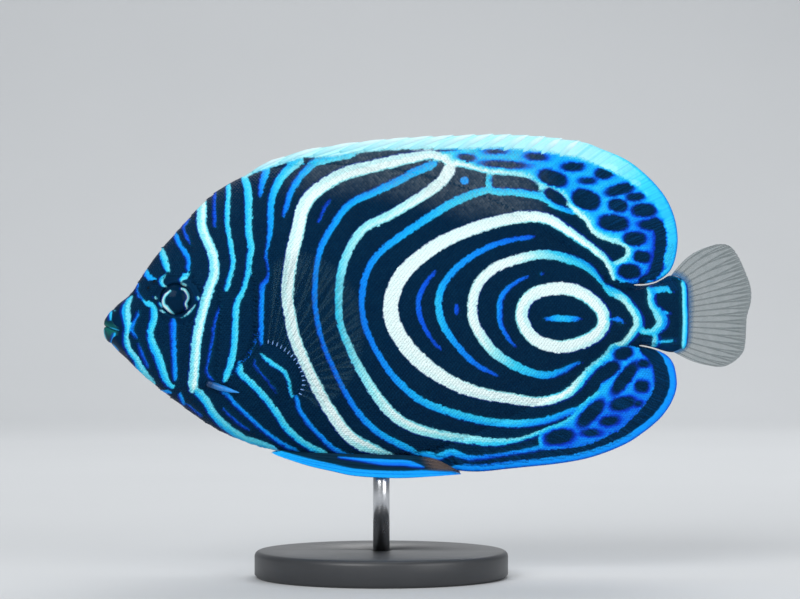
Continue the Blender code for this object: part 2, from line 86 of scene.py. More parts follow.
CHEST_LOBE = (-22.4, -9.3)
LOBE_LONG, LOBE_HIGH, LOBE_PROUD = 4.0, 4.6, 0.5
FIN_RIM_HALF, FIN_GAIN, FIN_GROWTH = 0.14, 0.66, 2.6
RIM_ROUNDING, SNOUT_ROUNDING = 0.35, 1.1
TOOTH_HEIGHT = [(-16, 0.05), (2, 0.16), (22.7, 0.16), (22.9, 0)]
NET_PITCH = 0.3


def through(points, x):
    """Height at x of a smooth curve through the points that never swings past them."""
    xs, ys = np.array(points, float).T
    run = np.diff(xs)
    slope = np.diff(ys) / run
    same_way = slope[:-1] * slope[1:] > 0
    mean = 2 * slope[:-1] * slope[1:] / np.where(same_way, slope[:-1] + slope[1:], 1)
    tangent = np.concatenate([slope[:1], np.where(same_way, mean, 0), slope[-1:]])
    x = np.clip(np.asarray(x, float), xs[0], xs[-1])
    i = np.clip(np.searchsorted(xs, x, side="right") - 1, 0, len(run) - 1)
    t = (x - xs[i]) / run[i]
    start = ys[i] * (1 + 2 * t) + run[i] * tangent[i] * t
    end = ys[i + 1] * (3 - 2 * t) - run[i] * tangent[i + 1] * (1 - t)
    return start * (1 - t) ** 2 + end * t ** 2


def straight(points, x):
    """Height at x of straight lines between the points."""
    return np.interp(x, *np.array(points, float).T)


def step(value, low, high):
    """0 below low, 1 above high and smooth between, or the other way round where high is the lower."""
    t = np.clip((value - low) / (high - low), 0, 1)
    return t * t * (3 - 2 * t)


def smooth_line(points, pitch, closed=False):
    """Points at an even pitch along a rounded curve through the given ones."""
    p = np.array(points, float)
    before = np.roll(p, 1, 0) if closed else np.vstack([2 * p[0] - p[1], p[:-1]])
    after = np.roll(p, -1, 0) if closed else np.vstack([p[1:], 2 * p[-1] - p[-2]])
    ends = np.roll(p, -1, 0) if closed else p[1:]
    starts = p if closed else p[:-1]
    tangent = (after - before) / 2
    leave = tangent if closed else tangent[:-1]
    arrive = np.roll(tangent, -1, 0) if closed else tangent[1:]
    t = np.linspace(0, 1, 12, endpoint=False)[:, None, None]
    curve = ((1 + 2 * t) * (1 - t) ** 2 * starts + t * (1 - t) ** 2 * leave
             + t * t * (3 - 2 * t) * ends - t * t * (1 - t) * arrive)
    curve = curve.transpose(1, 0, 2).reshape(-1, 2)
    curve = np.vstack([curve, p[:1] if closed else p[-1:]])
    length = np.concatenate([[0], np.cumsum(np.hypot(*np.diff(curve, axis=0).T))])
    count = max(2, int(round(length[-1] / pitch)) + 1)
    at = np.linspace(0, length[-1], count)
    line = np.stack([np.interp(at, length, curve[:, k]) for k in (0, 1)], -1)
    return line[:-1] if closed else line


def saw_teeth(line):
    """The line with a low tooth at each dorsal spine's tip, where the fin's skin is cut in behind it."""
    x, z = line.T
    tips = np.array(SPINE_TIPS)
    after = np.clip(np.searchsorted(tips, x), 1, len(tips) - 1)
    share = np.clip((x - tips[after - 1]) / (tips[after] - tips[after - 1]), 0, 1)
    height = straight(TOOTH_HEIGHT, x)
    return np.stack([x, z + np.where(z > 20, height * share ** 1.6, 0)], -1)


def point_tree(line):
    """A search tree over points of the side view."""
    tree = KDTree(len(line))
    for number, (x, z) in enumerate(line):
        tree.insert((x, z, 0), number)
    tree.balance()
    return tree


head_top = [(x, float(through(BACK, x))) for x in np.linspace(-47.9, -28.6, 22)]
belly_line = [(x, float(through(BELLY, x))) for x in np.linspace(-3.0, -47.9, 34)]
snout = [(-48.2, -4.0), (-48.35, -2.8), (-48.2, -1.5)]
OUTLINE = saw_teeth(smooth_line(snout + head_top + DORSAL_MARGIN + TAIL_ROOT + ANAL_MARGIN + belly_line,
                                NET_PITCH * 0.9, closed=True))
outline_tree = point_tree(OUTLINE)


def inside(x, z, polygon):
    """Whether each place lies inside a closed line of points."""
    x, z = np.asarray(x, float), np.asarray(z, float)
    found = np.zeros(x.shape, bool)
    for (x0, z0), (x1, z1) in zip(polygon, np.roll(polygon, -1, 0)):
        if z0 == z1:
            continue
        crosses = (z0 > z) != (z1 > z)
        found ^= crosses & (x < (x1 - x0) * (z - z0) / (z1 - z0) + x0)
    return found


def edge_distance(x, z):
    """How far each place is from the nearest point of the outline."""
    return np.array([outline_tree.find((a, b, 0))[2] for a, b in zip(x, z)])


def half_width(x, z):
    """Half the width of the smooth body, without relief, and the fin's half width beyond back and belly."""
    top, low = through(BACK, x), through(BELLY, x)
    height = (2 * z - top - low) / (top - low)
    keel = through(KEEL_HALF, x)
    bulge = np.sqrt(np.clip(1 - height ** 2, 0, 1)) ** through(SHARPNESS, x)
    return keel + (through(HALF_WIDTH, x) - keel) * bulge, np.abs(height) > 1


def flank(x, z, edge=None):
    """Half width of the skin at each place of the side view, with the head's relief."""
    x, z = np.asarray(x, float), np.asarray(z, float)
    edge = edge_distance(x, z) if edge is None else edge
    half, beyond = half_width(x, z)
    fin = FIN_RIM_HALF + FIN_GAIN * (1 - np.exp(-edge / FIN_GROWTH))
    half = np.where(beyond, np.minimum(half, fin), half)
    behind = through(GILL_EDGE, z) - x
    cover = step(behind, -0.12, 0.12) * np.clip(1 - behind / PLATE_LENGTH, 0, 1)
    cover = cover * step(z, -12.5, -10) * step(z, 8.5, 6)
    ahead = through(CHEEK_EDGE, z) - x
    cheek = step(ahead, -0.5, 0.2) * np.clip(1 - ahead / PLATE_LENGTH, 0, 1)
    cheek = cheek * step(z, -12.3, -11.3) * step(z, 7.5, 4)
    from_lobe = np.hypot((x - CHEST_LOBE[0]) / LOBE_LONG, (z - CHEST_LOBE[1]) / LOBE_HIGH)
    lobe = np.clip(1 - from_lobe ** 2, 0, 1)
    half = half + GILL_PROUD * cover + CHEEK_PROUD * cheek + LOBE_PROUD * lobe ** 1.5
    away = np.hypot(x - EYE[0], z - EYE[1])
    half = half + EYE_RIM_PROUD * np.exp(-((away - EYE_RIM_FAR) / EYE_RIM_WIDE) ** 2)
    half = half - SOCKET_DEEP * np.sqrt(np.clip(1 - (away / SOCKET_RADIUS) ** 2, 0, 1))
    rounding = RIM_ROUNDING + SNOUT_ROUNDING * step(x, -43.5, -47.5)
    near = np.clip(edge / rounding, 0, 1)
    return half * np.sqrt(1 - (1 - near) ** 2)


def skin_net():
    """Places of the side view and the triangles between them: an even net that ends on the outline."""
    low, high = OUTLINE.min(0), OUTLINE.max(0)
    rows = np.arange(low[1], high[1], NET_PITCH * math.sqrt(0.75))
    inner = []
    for number, row in enumerate(rows):
        x = np.arange(low[0], high[0], NET_PITCH) + NET_PITCH / 2 * (number % 2)
        inner.append(np.stack([x, np.full_like(x, row)], -1))
    inner = np.concatenate(inner)
    inner = inner[inside(inner[:, 0], inner[:, 1], OUTLINE)]
    inner = inner[edge_distance(*inner.T) > NET_PITCH * 0.55]
    points = [Vector(p) for p in np.vstack([OUTLINE, inner])]
    count = len(OUTLINE)
    rim = [(i, (i + 1) % count) for i in range(count)]
    made = delaunay_2d_cdt(points, rim, [], 1, 1e-6)
    return np.array([tuple(p) for p in made[0]]), [tuple(face) for face in made[2]]


def place(points):
    """Points of the fish in millimetres, in metres in the part's frame."""
    return (np.asarray(points, float) + np.array([-BASE_X, 0, AXIS_HEIGHT])) * MM


def mesh_piece(name, points, faces, material):
    """A mesh object from points in millimetres, facing out."""
    data = bpy.data.meshes.new(name)
    data.from_pydata(place(points).tolist(), [], faces)
    data.update()
    shape = bmesh.new()
    shape.from_mesh(data)
    bmesh.ops.recalc_face_normals(shape, faces=shape.faces)
    shape.to_mesh(data)
    shape.free()
    data.polygons.foreach_set("use_smooth", [True] * len(data.polygons))
    data.materials.append(material)
    made = bpy.data.objects.new(name, data)
    bpy.context.scene.collection.objects.link(made)
    return made


def paint_points(piece, **fields):
    """Store numbers on a mesh's points for its material to read."""
    for name, values in fields.items():
        layer = piece.data.attributes.new(name, "FLOAT", "POINT")
        layer.data.foreach_set("value", np.asarray(values, np.float32).ravel())


# Markings
# Rings, bars and nets of the juvenile coat, which skin and scales share. Each is a line down a stripe's
# middle with its width, painted one over another as a brightness from navy (0) over blue to white (1).

WHITE, PALE, CYAN, BLUE, DEEP = 1.0, 0.9, 0.74, 0.52, 0.36
STRIPES = [
    # Snout and cheek.
    (CYAN, [(0, 0.6), (0.16, 1.4), (0.3, 1.1), (0.42, 0.75), (0.52, 0.95), (0.68, 0.9), (0.82, 1.35),
            (1, 1.1)],
     [(-44.45, 1.95), (-45.1, 0.9), (-45.3, -0.2), (-45.1, -1.6), (-45.0, -2.6), (-45.25, -3.7),
      (-45.1, -5.2), (-44.6, -6.3), (-43.8, -7.2), (-43.2, -8.6), (-42.3, -10.0), (-41.2, -10.9)]),
    (0.44, 0.42, [(-43.4, -0.2), (-43.75, -1.3), (-44.4, -2.8), (-43.9, -3.8), (-43.6, -4.2)]),
    (DEEP, 0.4, [(-43.4, -5.0), (-42.8, -6.6), (-41.9, -8.6)]),
    (0.41, [(0, 0.6), (0.3, 0.3), (1, 0.4)], [(-43.5, 3.9), (-43.6, 2.9), (-43.3, 2.1), (-42.8, 1.6)]),
    (0.71, [(0, 0.5), (0.08, 0.85), (0.2, 1.05), (0.4, 0.95), (0.55, 1.2), (0.75, 1.2), (1, 0.9)],
     [(-42.8, 1.55), (-42.2, 1.05), (-41.3, 0.6), (-41.05, -0.4), (-41.2, -1.7), (-41.65, -3.4),
      (-41.3, -5), (-40.7, -6.4), (-40.2, -7.6), (-39.8, -9), (-39.2, -10.6), (-38.3, -11.5)]),
    (BLUE, 0.6, [(-40.4, -12.2), (-38.5, -12.3)]),
    ([(0, 0.47), (1, 0.54)], [(0, 0.95), (0.3, 0.8), (1, 0.65)],
     [(-38.2, -1.5), (-38.1, -5), (-37.9, -10.4)]),
    (BLUE, 0.5, [(-47.3, -5.2), (-46.9, -5.7), (-46.5, -6.1)]),
    # Forehead.
    (0.58, [(0, 0.6), (0.6, 0.9), (1, 0.8)], [(-42.4, 6.3), (-42.0, 5.1), (-41.0, 4.6)]),
    (CYAN, 1.0, [(-40.0, 9.1), (-39.6, 7.9), (-39.0, 6.1)]),
    (BLUE, 0.7, [(-37.9, 11.7), (-37.4, 10.1), (-36.4, 8.6), (-35.9, 7.4), (-35.95, 6.0)]),
    (DEEP, 0.45, [(-35.8, 13.6), (-36.6, 12.6), (-36.4, 11.5), (-35.6, 9.9)]),
    # Round the eye.
    (CYAN, [(0, 0.25), (0.35, 0.65), (0.7, 0.6), (1, 0.35)],
     [(-39.35, 5.35), (-39.95, 4.6), (-39.9, 3.9), (-39.3, 3.5)]),
    (CYAN, [(0, 0.8), (0.5, 1.05), (1, 0.8)], [(-35.95, 5.45), (-36.6, 4.95), (-37.05, 4.6)]),
    (0.96, [(0, 0.2), (0.5, 0.36), (1, 0.22)],
     [(-34.85, 0.85), (-35.3, 0.25), (-35.85, -0.35), (-36.45, -0.87), (-37.05, -1.17)]),
    (PALE, 0.42, [(-41.0, 2.0), (-40.7, 1.75)]),
    (PALE, 0.36, [(-40.2, 0.05), (-39.45, -0.4)]),
    (0.78, 0.5, [(-40.2, 1.1), (-39.95, 0.75), (-39.6, 0.45)]),
    (0.8, 0.42, [(-34.6, 1.95), (-34.45, 1.6)]),
    (1.0, 0.42, [(-37.0, 4.0), (-36.25, 3.72)]),
    (0.96, 0.42, [(-39.2, 3.45), (-39.0, 3.2)]),
    (0.95, 0.3, [(-47.1, -0.1), (-46.9, -0.15)]),
    # First pale bar behind the eye and its run along the throat.
    (PALE, 1.5, [(-33.8, 16.8), (-33.9, 14.2), (-33.85, 12.4), (-33.2, 10.6), (-32.3, 8.5), (-32, 6.5),
                 (-32.05, 5.2), (-32.7, 3.4), (-33.3, 1.6), (-33.75, -0.2), (-34.2, -2), (-34.7, -4.7),
                 (-34.95, -8), (-35.3, -11.9)]),
    (CYAN, 1.2, [(-34.8, -11.9), (-34.2, -12.5), (-33.3, -13.6), (-32.3, -15.3), (-31.1, -16.7),
                 (-29.4, -18.1), (-27.4, -19.4), (-24.9, -20.2), (-23.4, -20.9), (-22.5, -21.4)]),
    (DEEP, 0.5, [(-31.9, 17.8), (-32, 16), (-31.96, 12.5)]),
    (DEEP, 0.4, [(-31.1, 0.6), (-31.9, -1.6), (-32.3, -4.5), (-33, -8), (-33.2, -9), (-32.8, -9.9),
                 (-32, -10.6)]),
    (CYAN, 0.75, [(-29.9, 18.9), (-30, 16), (-30.1, 13.3), (-29.8, 11), (-29.4, 8.8), (-29.2, 7.2),
                  (-29.4, 6), (-29.9, 4.2), (-30.25, 3.0)]),
    (CYAN, [(0, 1.2), (0.4, 0.95), (0.5, 0.7), (0.65, 0.95), (1, 1.0)],
     [(-27.6, 20), (-27, 18), (-26.9, 15), (-26.9, 11.5), (-26.5, 9.3), (-26.8, 7.4), (-26.9, 6),
      (-27.2, 4.6), (-27.65, 3.05), (-28.4, 1.75), (-28.8, 0.3), (-28.85, -1), (-28.95, -3.75),
      (-29.2, -6.3), (-29.7, -8.4), (-30.5, -10.5)]),
    (CYAN, 0.32, [(-26.8, 6.6), (-26.4, 5.4), (-26.15, 5.0)]),
    ([(0, 0.66), (0.5, 0.56), (1, 0.46)], [(0, 1.2), (0.6, 1.0), (1, 0.5)],
     [(-24.1, 21.2), (-24.6, 19.8), (-25.0, 18.3), (-25.2, 17.0)]),
    ([(0, 0.80), (0.15, 0.72), (0.3, 0.60), (0.5, 0.54), (0.58, 0.40), (0.66, 0.42), (0.75, 0.54),
      (1, 0.50)],
     [(0, 1.5), (0.12, 1.25), (0.35, 0.95), (0.5, 0.5), (0.62, 0.38), (0.7, 0.8), (0.92, 0.75), (1, 0.5)],
     [(-19.2, 22.3), (-20.4, 21.5), (-21.6, 20.4), (-22.6, 18.9), (-23.3, 17.2), (-23.6, 15), (-23.6, 12.7),
      (-23.9, 10.3), (-24.3, 8.3), (-24.0, 6.6), (-24.0, 4.9), (-24.8, 3.6), (-24.9, 1.6), (-25, -0.6),
      (-25.0, -3.1), (-24.95, -5.2)]),
    ([(0, 0.68), (0.5, 0.58), (1, 0.46)], [(0, 1.1), (0.6, 0.95), (1, 0.55)],
     [(-17.0, 22.0), (-18.4, 20.8), (-19.7, 19.2), (-20.6, 17.6), (-21.2, 15.6), (-21.7, 14.0)]),
    (0.76, 1.1, [(-17.6, 22.0), (-15.6, 22.4), (-13.4, 22.95), (-11.2, 23.3)]),
    # Throat and breast.
    (0.41, 0.42, [(-25.85, -3.2), (-26.1, -5), (-27, -6.8), (-28.2, -8), (-29.2, -9.5)]),
    (CYAN, 1.0, [(-28.2, -8.0), (-28, -9.5), (-26.7, -10.7), (-25.2, -12.2), (-23.7, -14), (-22.5, -15.7),
                 (-21.3, -17.5), (-19.8, -19), (-18, -20.3), (-15.3, -21.6)]),
    (BLUE, 0.6, [(-31, -12), (-30, -12.7), (-28.7, -14.2), (-27, -15.8), (-25.2, -17.5), (-23.3, -19),
                 (-21.3, -20.3), (-19.3, -21.3)]),
    (DEEP, 0.35, [(-30.7, -14.7), (-28.5, -16.8), (-26.8, -17.9)]),
    (CYAN, [(0, 0.35), (0.15, 0.68), (0.6, 0.65), (1, 0.5)],
     [(-25.2, -6.5), (-24.0, -7.5), (-22.6, -8.5), (-21.5, -9.3), (-20.95, -10.5), (-20.4, -13.1)]),
    (BLUE, 0.7, [(-19.7, -13.0), (-19.2, -15), (-17.7, -17.2), (-16, -19), (-14.2, -20.7), (-11.7, -21.8),
                 (-9.5, -22.3)]),
    (DEEP, 0.3, [(-26, -7.3), (-25.8, -8.5), (-24.7, -9.8), (-23.5, -11.2), (-22.6, -12.4)]),
    (BLUE, 0.6, [(-37.2, -12.5), (-36.6, -14.1)]),
    (DEEP, 0.3, [(-36.2, -14), (-33.8, -16)]),
    # Outer rings, from the big white one inwards.
    ([(0, 1), (0.88, 1), (1, 0.86)],
     [(0, 1.3), (0.06, 1.4), (0.14, 1.9), (0.3, 2.0), (0.45, 2.0), (0.58, 1.85), (0.72, 1.65), (0.86, 1.8),
      (0.93, 1.9), (0.97, 1.0), (1, 0.4)],
     [(3.5, 21.9), (2.3, 22.9), (0.2, 23.3), (-2.1, 22.9), (-4.2, 22.5), (-6.3, 22.0), (-8.4, 21.5),
      (-10.5, 21.0), (-12.6, 20.4), (-14.7, 19.3), (-16.7, 17.9), (-18.2, 16.4), (-18.9, 14.9),
      (-19.3, 12.9), (-20, 10), (-20.45, 8), (-20.85, 5.4), (-21.05, 3.4), (-21.05, 1.2), (-20.6, -1.2),
      (-20.2, -3.4), (-19.35, -5.9), (-18.2, -8.4), (-17.1, -10.6), (-15.9, -13), (-14.6, -15.2),
      (-13.2, -17.3), (-11.6, -19.1), (-9.8, -20.2), (-7.6, -21), (-4.9, -21.9)]),
    (DEEP, 0.5, [(-14.6, 16.5), (-15.5, 15.3), (-16.4, 13.1)]),
    ([(0, 0.66), (0.2, 0.63), (0.32, 0.58), (0.42, 0.54), (0.55, 0.50), (0.66, 0.46), (0.75, 0.48),
      (0.84, 0.57), (0.92, 0.62), (1, 0.64)],
     [(0, 1.3), (0.2, 1.1), (0.32, 1.0), (0.45, 0.8), (0.6, 0.72), (0.72, 0.75), (0.82, 0.95), (0.95, 1.0),
      (1, 0.8)],
     [(1.0, 21.9), (-2.0, 20.7), (-4.3, 19.4), (-6.3, 18.5), (-8.3, 17.5), (-10.3, 16.7), (-12.2, 15.5),
      (-13.3, 14.1), (-14.2, 12.7), (-15.7, 10.2), (-16.5, 7.7), (-16.9, 4.4), (-17, 2), (-16.9, 0.4),
      (-16.5, -2.2), (-15.6, -5.4), (-14, -9.1), (-12.7, -11.8), (-11.15, -14.4), (-9.4, -16.6),
      (-7.5, -18.3), (-4.9, -19.8), (-2.8, -20.8), (-1.3, -21.6)]),
    ([(0, 0.62), (0.25, 0.64), (0.38, 0.5), (0.5, 0.42), (0.75, 0.5), (1, 0.56)],
     [(0, 0.9), (0.2, 1.1), (0.35, 0.85), (0.5, 0.55), (0.8, 0.65), (1, 0.75)],
     [(-1.3, -21.5), (0.2, -21.6), (1.3, -21.95), (2.3, -21.7), (3.3, -21.25), (4.4, -21.55), (5.6, -21.95),
      (6.9, -22.15), (9.3, -21.9), (11.9, -21.5), (14.5, -21.1), (17.0, -20.6), (19.8, -20.4)]),
    (0.62, 0.9, [(17.0, -18.6), (17.0, -20.5)]),
    ([(0, 1), (0.05, 1), (0.14, 0.93), (0.2, 0.9), (0.28, 0.82), (0.36, 0.79), (0.45, 0.86), (0.54, 0.95),
      (0.6, 0.94), (0.68, 0.86), (0.74, 0.76), (0.78, 0.76), (0.85, 0.7), (1, 0.66)],
     [(0, 1.9), (0.05, 1.7), (0.1, 1.5), (0.2, 1.35), (0.32, 1.2), (0.365, 1.05), (0.45, 1.3), (0.52, 1.6),
      (0.58, 1.6), (0.64, 1.35), (0.73, 1.25), (0.78, 0.6), (0.85, 0.7), (1, 0.8)],
     [(3.5, 21.8), (2.8, 20.1), (1.5, 18.8), (-1.0, 17.0), (-3.2, 15.7), (-5.3, 14.4), (-7.5, 13.4),
      (-10.0, 12.0), (-11.4, 9.9), (-12.6, 7.4), (-13.2, 4.8), (-13.4, 2.0), (-13.4, -0.6),
      (-13.1, -2.3), (-12.2, -4.7), (-10.7, -8.0), (-9.2, -10.5), (-7.5, -13.1), (-5.8, -15.2),
      (-4.0, -16.7), (-1.0, -18.0), (3.3, -18.95), (7.6, -19.6), (9.7, -19.8), (11.9, -19.7),
      (14, -19.3), (16.2, -18.6), (18.3, -17.7), (20.6, -17), (22.05, -15.85), (22.8, -14.6),
      (24.2, -13.5), (25.5, -12.6), (26.4, -11.5), (27.3, -10.8), (28.5, -9.75), (29.2, -8.7)]),
    ([(0, 1), (0.15, 0.95), (0.3, 0.86), (0.45, 0.93), (0.6, 0.88), (0.8, 0.8), (1, 0.78)],
     [(0, 1.2), (0.2, 1.1), (0.35, 1.0), (0.47, 1.3), (0.6, 1.2), (0.8, 1.1), (1, 0.9)],
     [(3.5, 21.9), (4.8, 22.1), (7.0, 21.5), (9.2, 20.95), (11.4, 20.75), (14.3, 20.3), (16.2, 19.3),
      (18, 18.3), (20, 17.3), (21.5, 15.9), (22.4, 14.9), (23.9, 13.7), (25.0, 11.9), (26.8, 10.9),
      (28.6, 10.4), (30.0, 9.7), (30.2, 8.3), (28.9, 7.2), (27.7, 6.95)]),
    ([(0, 0.76), (0.08, 0.74), (0.16, 0.66), (0.25, 0.62), (0.32, 0.55), (0.45, 0.50), (0.56, 0.56),
      (0.63, 0.64), (0.72, 0.70), (0.86, 0.68), (0.93, 0.56), (1, 0.5)],
     [(0, 1.0), (0.06, 1.3), (0.14, 1.2), (0.25, 1.1), (0.37, 0.95), (0.48, 0.85), (0.6, 1.05), (0.75, 1.2),
      (0.86, 1.2), (0.93, 1.0), (1, 0.9)],
     [(9.4, 18.1), (7.6, 17.7), (5.4, 16.9), (3.3, 15.9), (1.1, 14.55), (-1.0, 13.15), (-3.2, 11.75),
      (-5.3, 10.2), (-7.4, 8.5), (-8.6, 6.9), (-9.4, 5.0), (-9.85, 2.8), (-9.9, 0.45), (-9.55, -2.1),
      (-8.6, -4.4), (-7.3, -6.9), (-5.8, -9.2), (-4.0, -11.2), (-2.1, -12.9), (0.05, -14.1),
      (3.3, -15.3), (6.5, -16.2), (9.7, -16.8), (12.95, -17), (16.2, -16.8), (18.3, -16.35),
      (19.8, -15.8), (21, -15.3), (22.4, -14.8)]),
    (0.76, 1.0, [(9.2, 20.6), (9.15, 18.1)]),
    ([(0, 0.74), (0.7, 0.7), (1, 0.5)], [(0, 1.1), (0.6, 1.15), (0.8, 0.9), (1, 0.6)],
     [(9.2, 17.95), (11.3, 17.7), (13.6, 17.6), (16.9, 17.0), (19.1, 15.65), (21.9, 14.5)]),
    (0.80, 0.9, [(16.8, 18.9), (17.3, 17.9), (17.2, 17.0)]),
    ([(0, 0.80), (0.08, 0.93), (0.14, 1), (0.84, 1), (0.89, 0.9), (0.93, 0.76), (1, 0.72)],
     [(0, 0.9), (0.06, 1.1), (0.1, 1.3), (0.14, 1.55), (0.2, 1.8), (0.32, 1.9), (0.4, 2.15),
      (0.55, 2.35), (0.62, 2.3), (0.7, 1.9), (0.8, 1.6), (0.86, 1.35), (0.9, 1.4), (0.94, 1.2), (1, 1.1)],
     [(27.9, 4.7), (27.75, 5.8), (27.2, 7.0), (25.7, 8.5), (24.1, 9.65), (22.4, 10.9), (20.1, 12.45),
      (18.2, 13.6), (15.75, 14.05), (12.95, 13.8), (9.7, 13.1), (6.5, 12.1), (3.3, 10.8), (1.1, 9.6),
      (-1.0, 8.1), (-3.2, 6.2), (-4.7, 4.1), (-5.45, 2.0), (-5.65, -0.2), (-5.25, -2.1), (-4.3, -3.9),
      (-2.8, -6.0), (-1.0, -7.8), (1.1, -9.4), (3.3, -10.7), (5.4, -11.7), (7.6, -12.35), (9.7, -12.8),
      (11.9, -13.1), (14, -13.5), (16.2, -13.75), (18.2, -13.5), (20, -12.95), (21.5, -12.15),
      (22.7, -10.9), (23.8, -9.4), (25.0, -8.2), (26.6, -7.25), (27.5, -6.2), (27.6, -5.4)]),
    ([(0, 0.38), (0.4, 0.45), (1, 0.36)], [(0, 0.55), (0.3, 0.8), (0.6, 0.8), (1, 0.45)],
     [(1.1, 5.8), (-0.2, 4.3), (-1.0, 2.8), (-1.45, 1.2), (-1.3, -0.6), (-0.7, -2.3), (0.1, -3.7),
      (1.1, -5.1), (1.9, -5.9)]),
    ([(0, 0.40), (0.12, 0.46), (0.25, 0.54), (0.45, 0.60), (0.55, 0.70), (0.65, 0.68), (0.78, 0.56),
      (0.88, 0.48), (1, 0.38)],
     [(0, 0.7), (0.3, 0.95), (0.5, 1.1), (0.65, 1.1), (0.8, 0.95), (0.92, 0.75), (1, 0.5)],
     [(15.75, 11.0), (12.95, 10.6), (10.2, 9.9), (7.6, 8.7), (5.4, 7.3), (3.4, 5.4), (2.1, 3.5), (1.6, 1.5),
      (1.75, -0.6), (2.3, -2.3), (3.3, -3.9), (4.6, -5.6), (6.2, -7.3), (7.6, -8.4), (8.9, -9.1),
      (10.5, -9.8)]),
    (0.38, 0.7, [(4.25, 0.8), (4.25, -0.5)]),
    ([(0, 0.62), (0.1, 0.68), (0.2, 0.80), (0.28, 0.95), (0.36, 1.0), (0.6, 1.0), (0.68, 0.92),
      (0.76, 0.78), (0.84, 0.68), (0.92, 0.56), (1, 0.42)],
     [(0, 0.5), (0.06, 1.1), (0.14, 1.4), (0.4, 1.5), (0.55, 1.5), (0.65, 1.6), (0.76, 1.4), (0.86, 1.15),
      (0.95, 0.85), (1, 0.45)],
     [(26.3, 3.8), (25.0, 5.45), (23.5, 6.7), (21.5, 7.5), (19.4, 8.1), (16.9, 8.36), (13.9, 7.75),
      (10.9, 6.8), (9.0, 5.6), (7.6, 4.1), (6.75, 2.0), (6.6, -0.2), (7.0, -2.1), (8.2, -4.2),
      (9.7, -6.1), (11.9, -7.7), (14, -8.8), (16.2, -9.55), (18, -9.75), (20, -9.15), (21.8, -8.2),
      (22.9, -7.8)]),
    ([(0, 0.66), (0.15, 0.7), (0.3, 0.82), (0.55, 0.78), (1, 0.82)],
     [(0, 0.7), (0.12, 1.4), (0.3, 1.15), (0.6, 1.4), (0.75, 1.2), (0.9, 0.9), (1, 0.5)],
     [(26.2, 3.9), (27.3, 2.9), (28.7, 2.2), (29.6, 1.5), (30.7, 0.1), (31.4, -1.1), (31.5, -2.2),
      (30.9, -3.1), (30.1, -4.2), (29.2, -5.0), (27.8, -5.2)]),
    ([(0, 0.40), (0.5, 0.54), (1, 0.40)], [(0, 0.5), (0.3, 0.75), (0.5, 0.95), (0.8, 0.7), (1, 0.5)],
     [(14.9, 5.0), (13.3, 4.25), (11.8, 3.1), (10.9, 1.7), (10.7, 0), (10.8, -1.8), (11.4, -3.2),
      (12.2, -4.5), (12.95, -5.4)]),
    (0.40, 0.6, [(16.95, 5.4), (17.1, 5.6)]),
    ([(0, 0.42), (0.25, 0.6), (0.5, 0.67), (0.75, 0.6), (1, 0.42)], [(0, 0.7), (0.5, 1.15), (1, 0.7)],
     [(17.6, -1.3), (18.9, -1.25), (20.2, -1.25), (21.5, -1.3), (22.7, -1.25)]),
    (0.41, [(0, 0.4), (0.55, 0.85), (1, 0.5)], [(27.4, -1.35), (28.3, -1.35), (28.9, -1.55),
                                                (29.2, -1.95)]),
    # Tail root.
    (0.71, [(0, 0.6), (0.12, 1.0), (0.35, 1.1), (0.5, 1.7), (0.65, 1.5), (0.85, 0.95), (1, 1.1)],
     [(32.8, 3.8), (33.4, 2.7), (33.4, 1.5), (33.7, 0.6), (34.5, -0.4), (35.1, -1.6), (34.6, -2.6),
      (33.6, -3.2), (32.6, -3.2), (31.5, -2.8)]),
    (0.62, [(0, 1.1), (0.7, 0.95), (1, 0.6)], [(33.4, 3.0), (34.6, 3.05), (35.7, 3.2), (36.4, 2.75)]),
    (0.62, 0.8, [(35.0, -0.5), (35.9, -0.45)]),
    (0.7, [(0, 0.9), (0.6, 0.95), (1, 0.6)], [(34.0, -3.4), (34.2, -4.5), (34.0, -5.1), (33.6, -5.5)]),
    (0.62, 0.5, [(34.3, -4.75), (35.5, -4.7), (36.7, -4.6)]),
    (0.67, 0.8, [(38.2, 4.4), (38.45, 3), (38.5, 1), (38.6, -1.6), (38.5, -4), (38.35, -5.7)]),
    (0.5, 0.3, [(36.4, 5.3), (37.3, 5.0), (38.0, 4.4)]),
]
INNER_RING = [(13.98, -0.7), (14.3, 0.7), (15.2, 2.0), (16.8, 2.85), (18.4, 3.15), (20, 3.25), (21.6, 3.05),
              (23, 2.5), (24.2, 1.75), (25.2, 0.85), (26.1, -0.3), (26.4, -1.5), (26.0, -2.8), (24.9, -3.9),
              (23, -4.8), (21.3, -5.3), (19.6, -5.45), (17.9, -5.2), (16.4, -4.6), (15.1, -3.5),
              (14.3, -2.1)]
INNER_RING_WIDTH = 1.92
DORSAL_NET = [(1.6, 24.4), (2.3, 23), (3.5, 21.9), (5.7, 21.6), (8.2, 20.8), (12.3, 20.7), (15.7, 20),
              (17.3, 18.8), (19.5, 18), (20.7, 17), (21.3, 15.7), (22.7, 14.8), (23.8, 14.2), (24.7, 13),
              (25.3, 11.7), (26.7, 11), (28.5, 10.6), (30.0, 9.8), (30.3, 8.3), (29, 7.2), (27.8, 6.7),
              (28.3, 4.6), (31, 4.0), (35, 4.6), (38, 8), (38, 13), (34, 20), (27, 24.5), (20, 26.3),
              (8, 26.6), (1.6, 26.4)]
ANAL_NET = [(27.7, -5.3), (26.7, -7.4), (26, -9.4), (25.6, -12.4), (24.2, -13.4), (22.8, -14.5),
            (22, -15.8), (21, -16.8), (18.6, -17.5), (17.1, -18.3), (16.9, -19.4), (17.1, -20.7),
            (20, -20.8), (24, -20.1), (28, -18.3), (30.5, -16.3), (32.8, -13.7), (34, -11.2),
            (34.3, -8.8), (33.2, -6.8), (31, -5.5)]
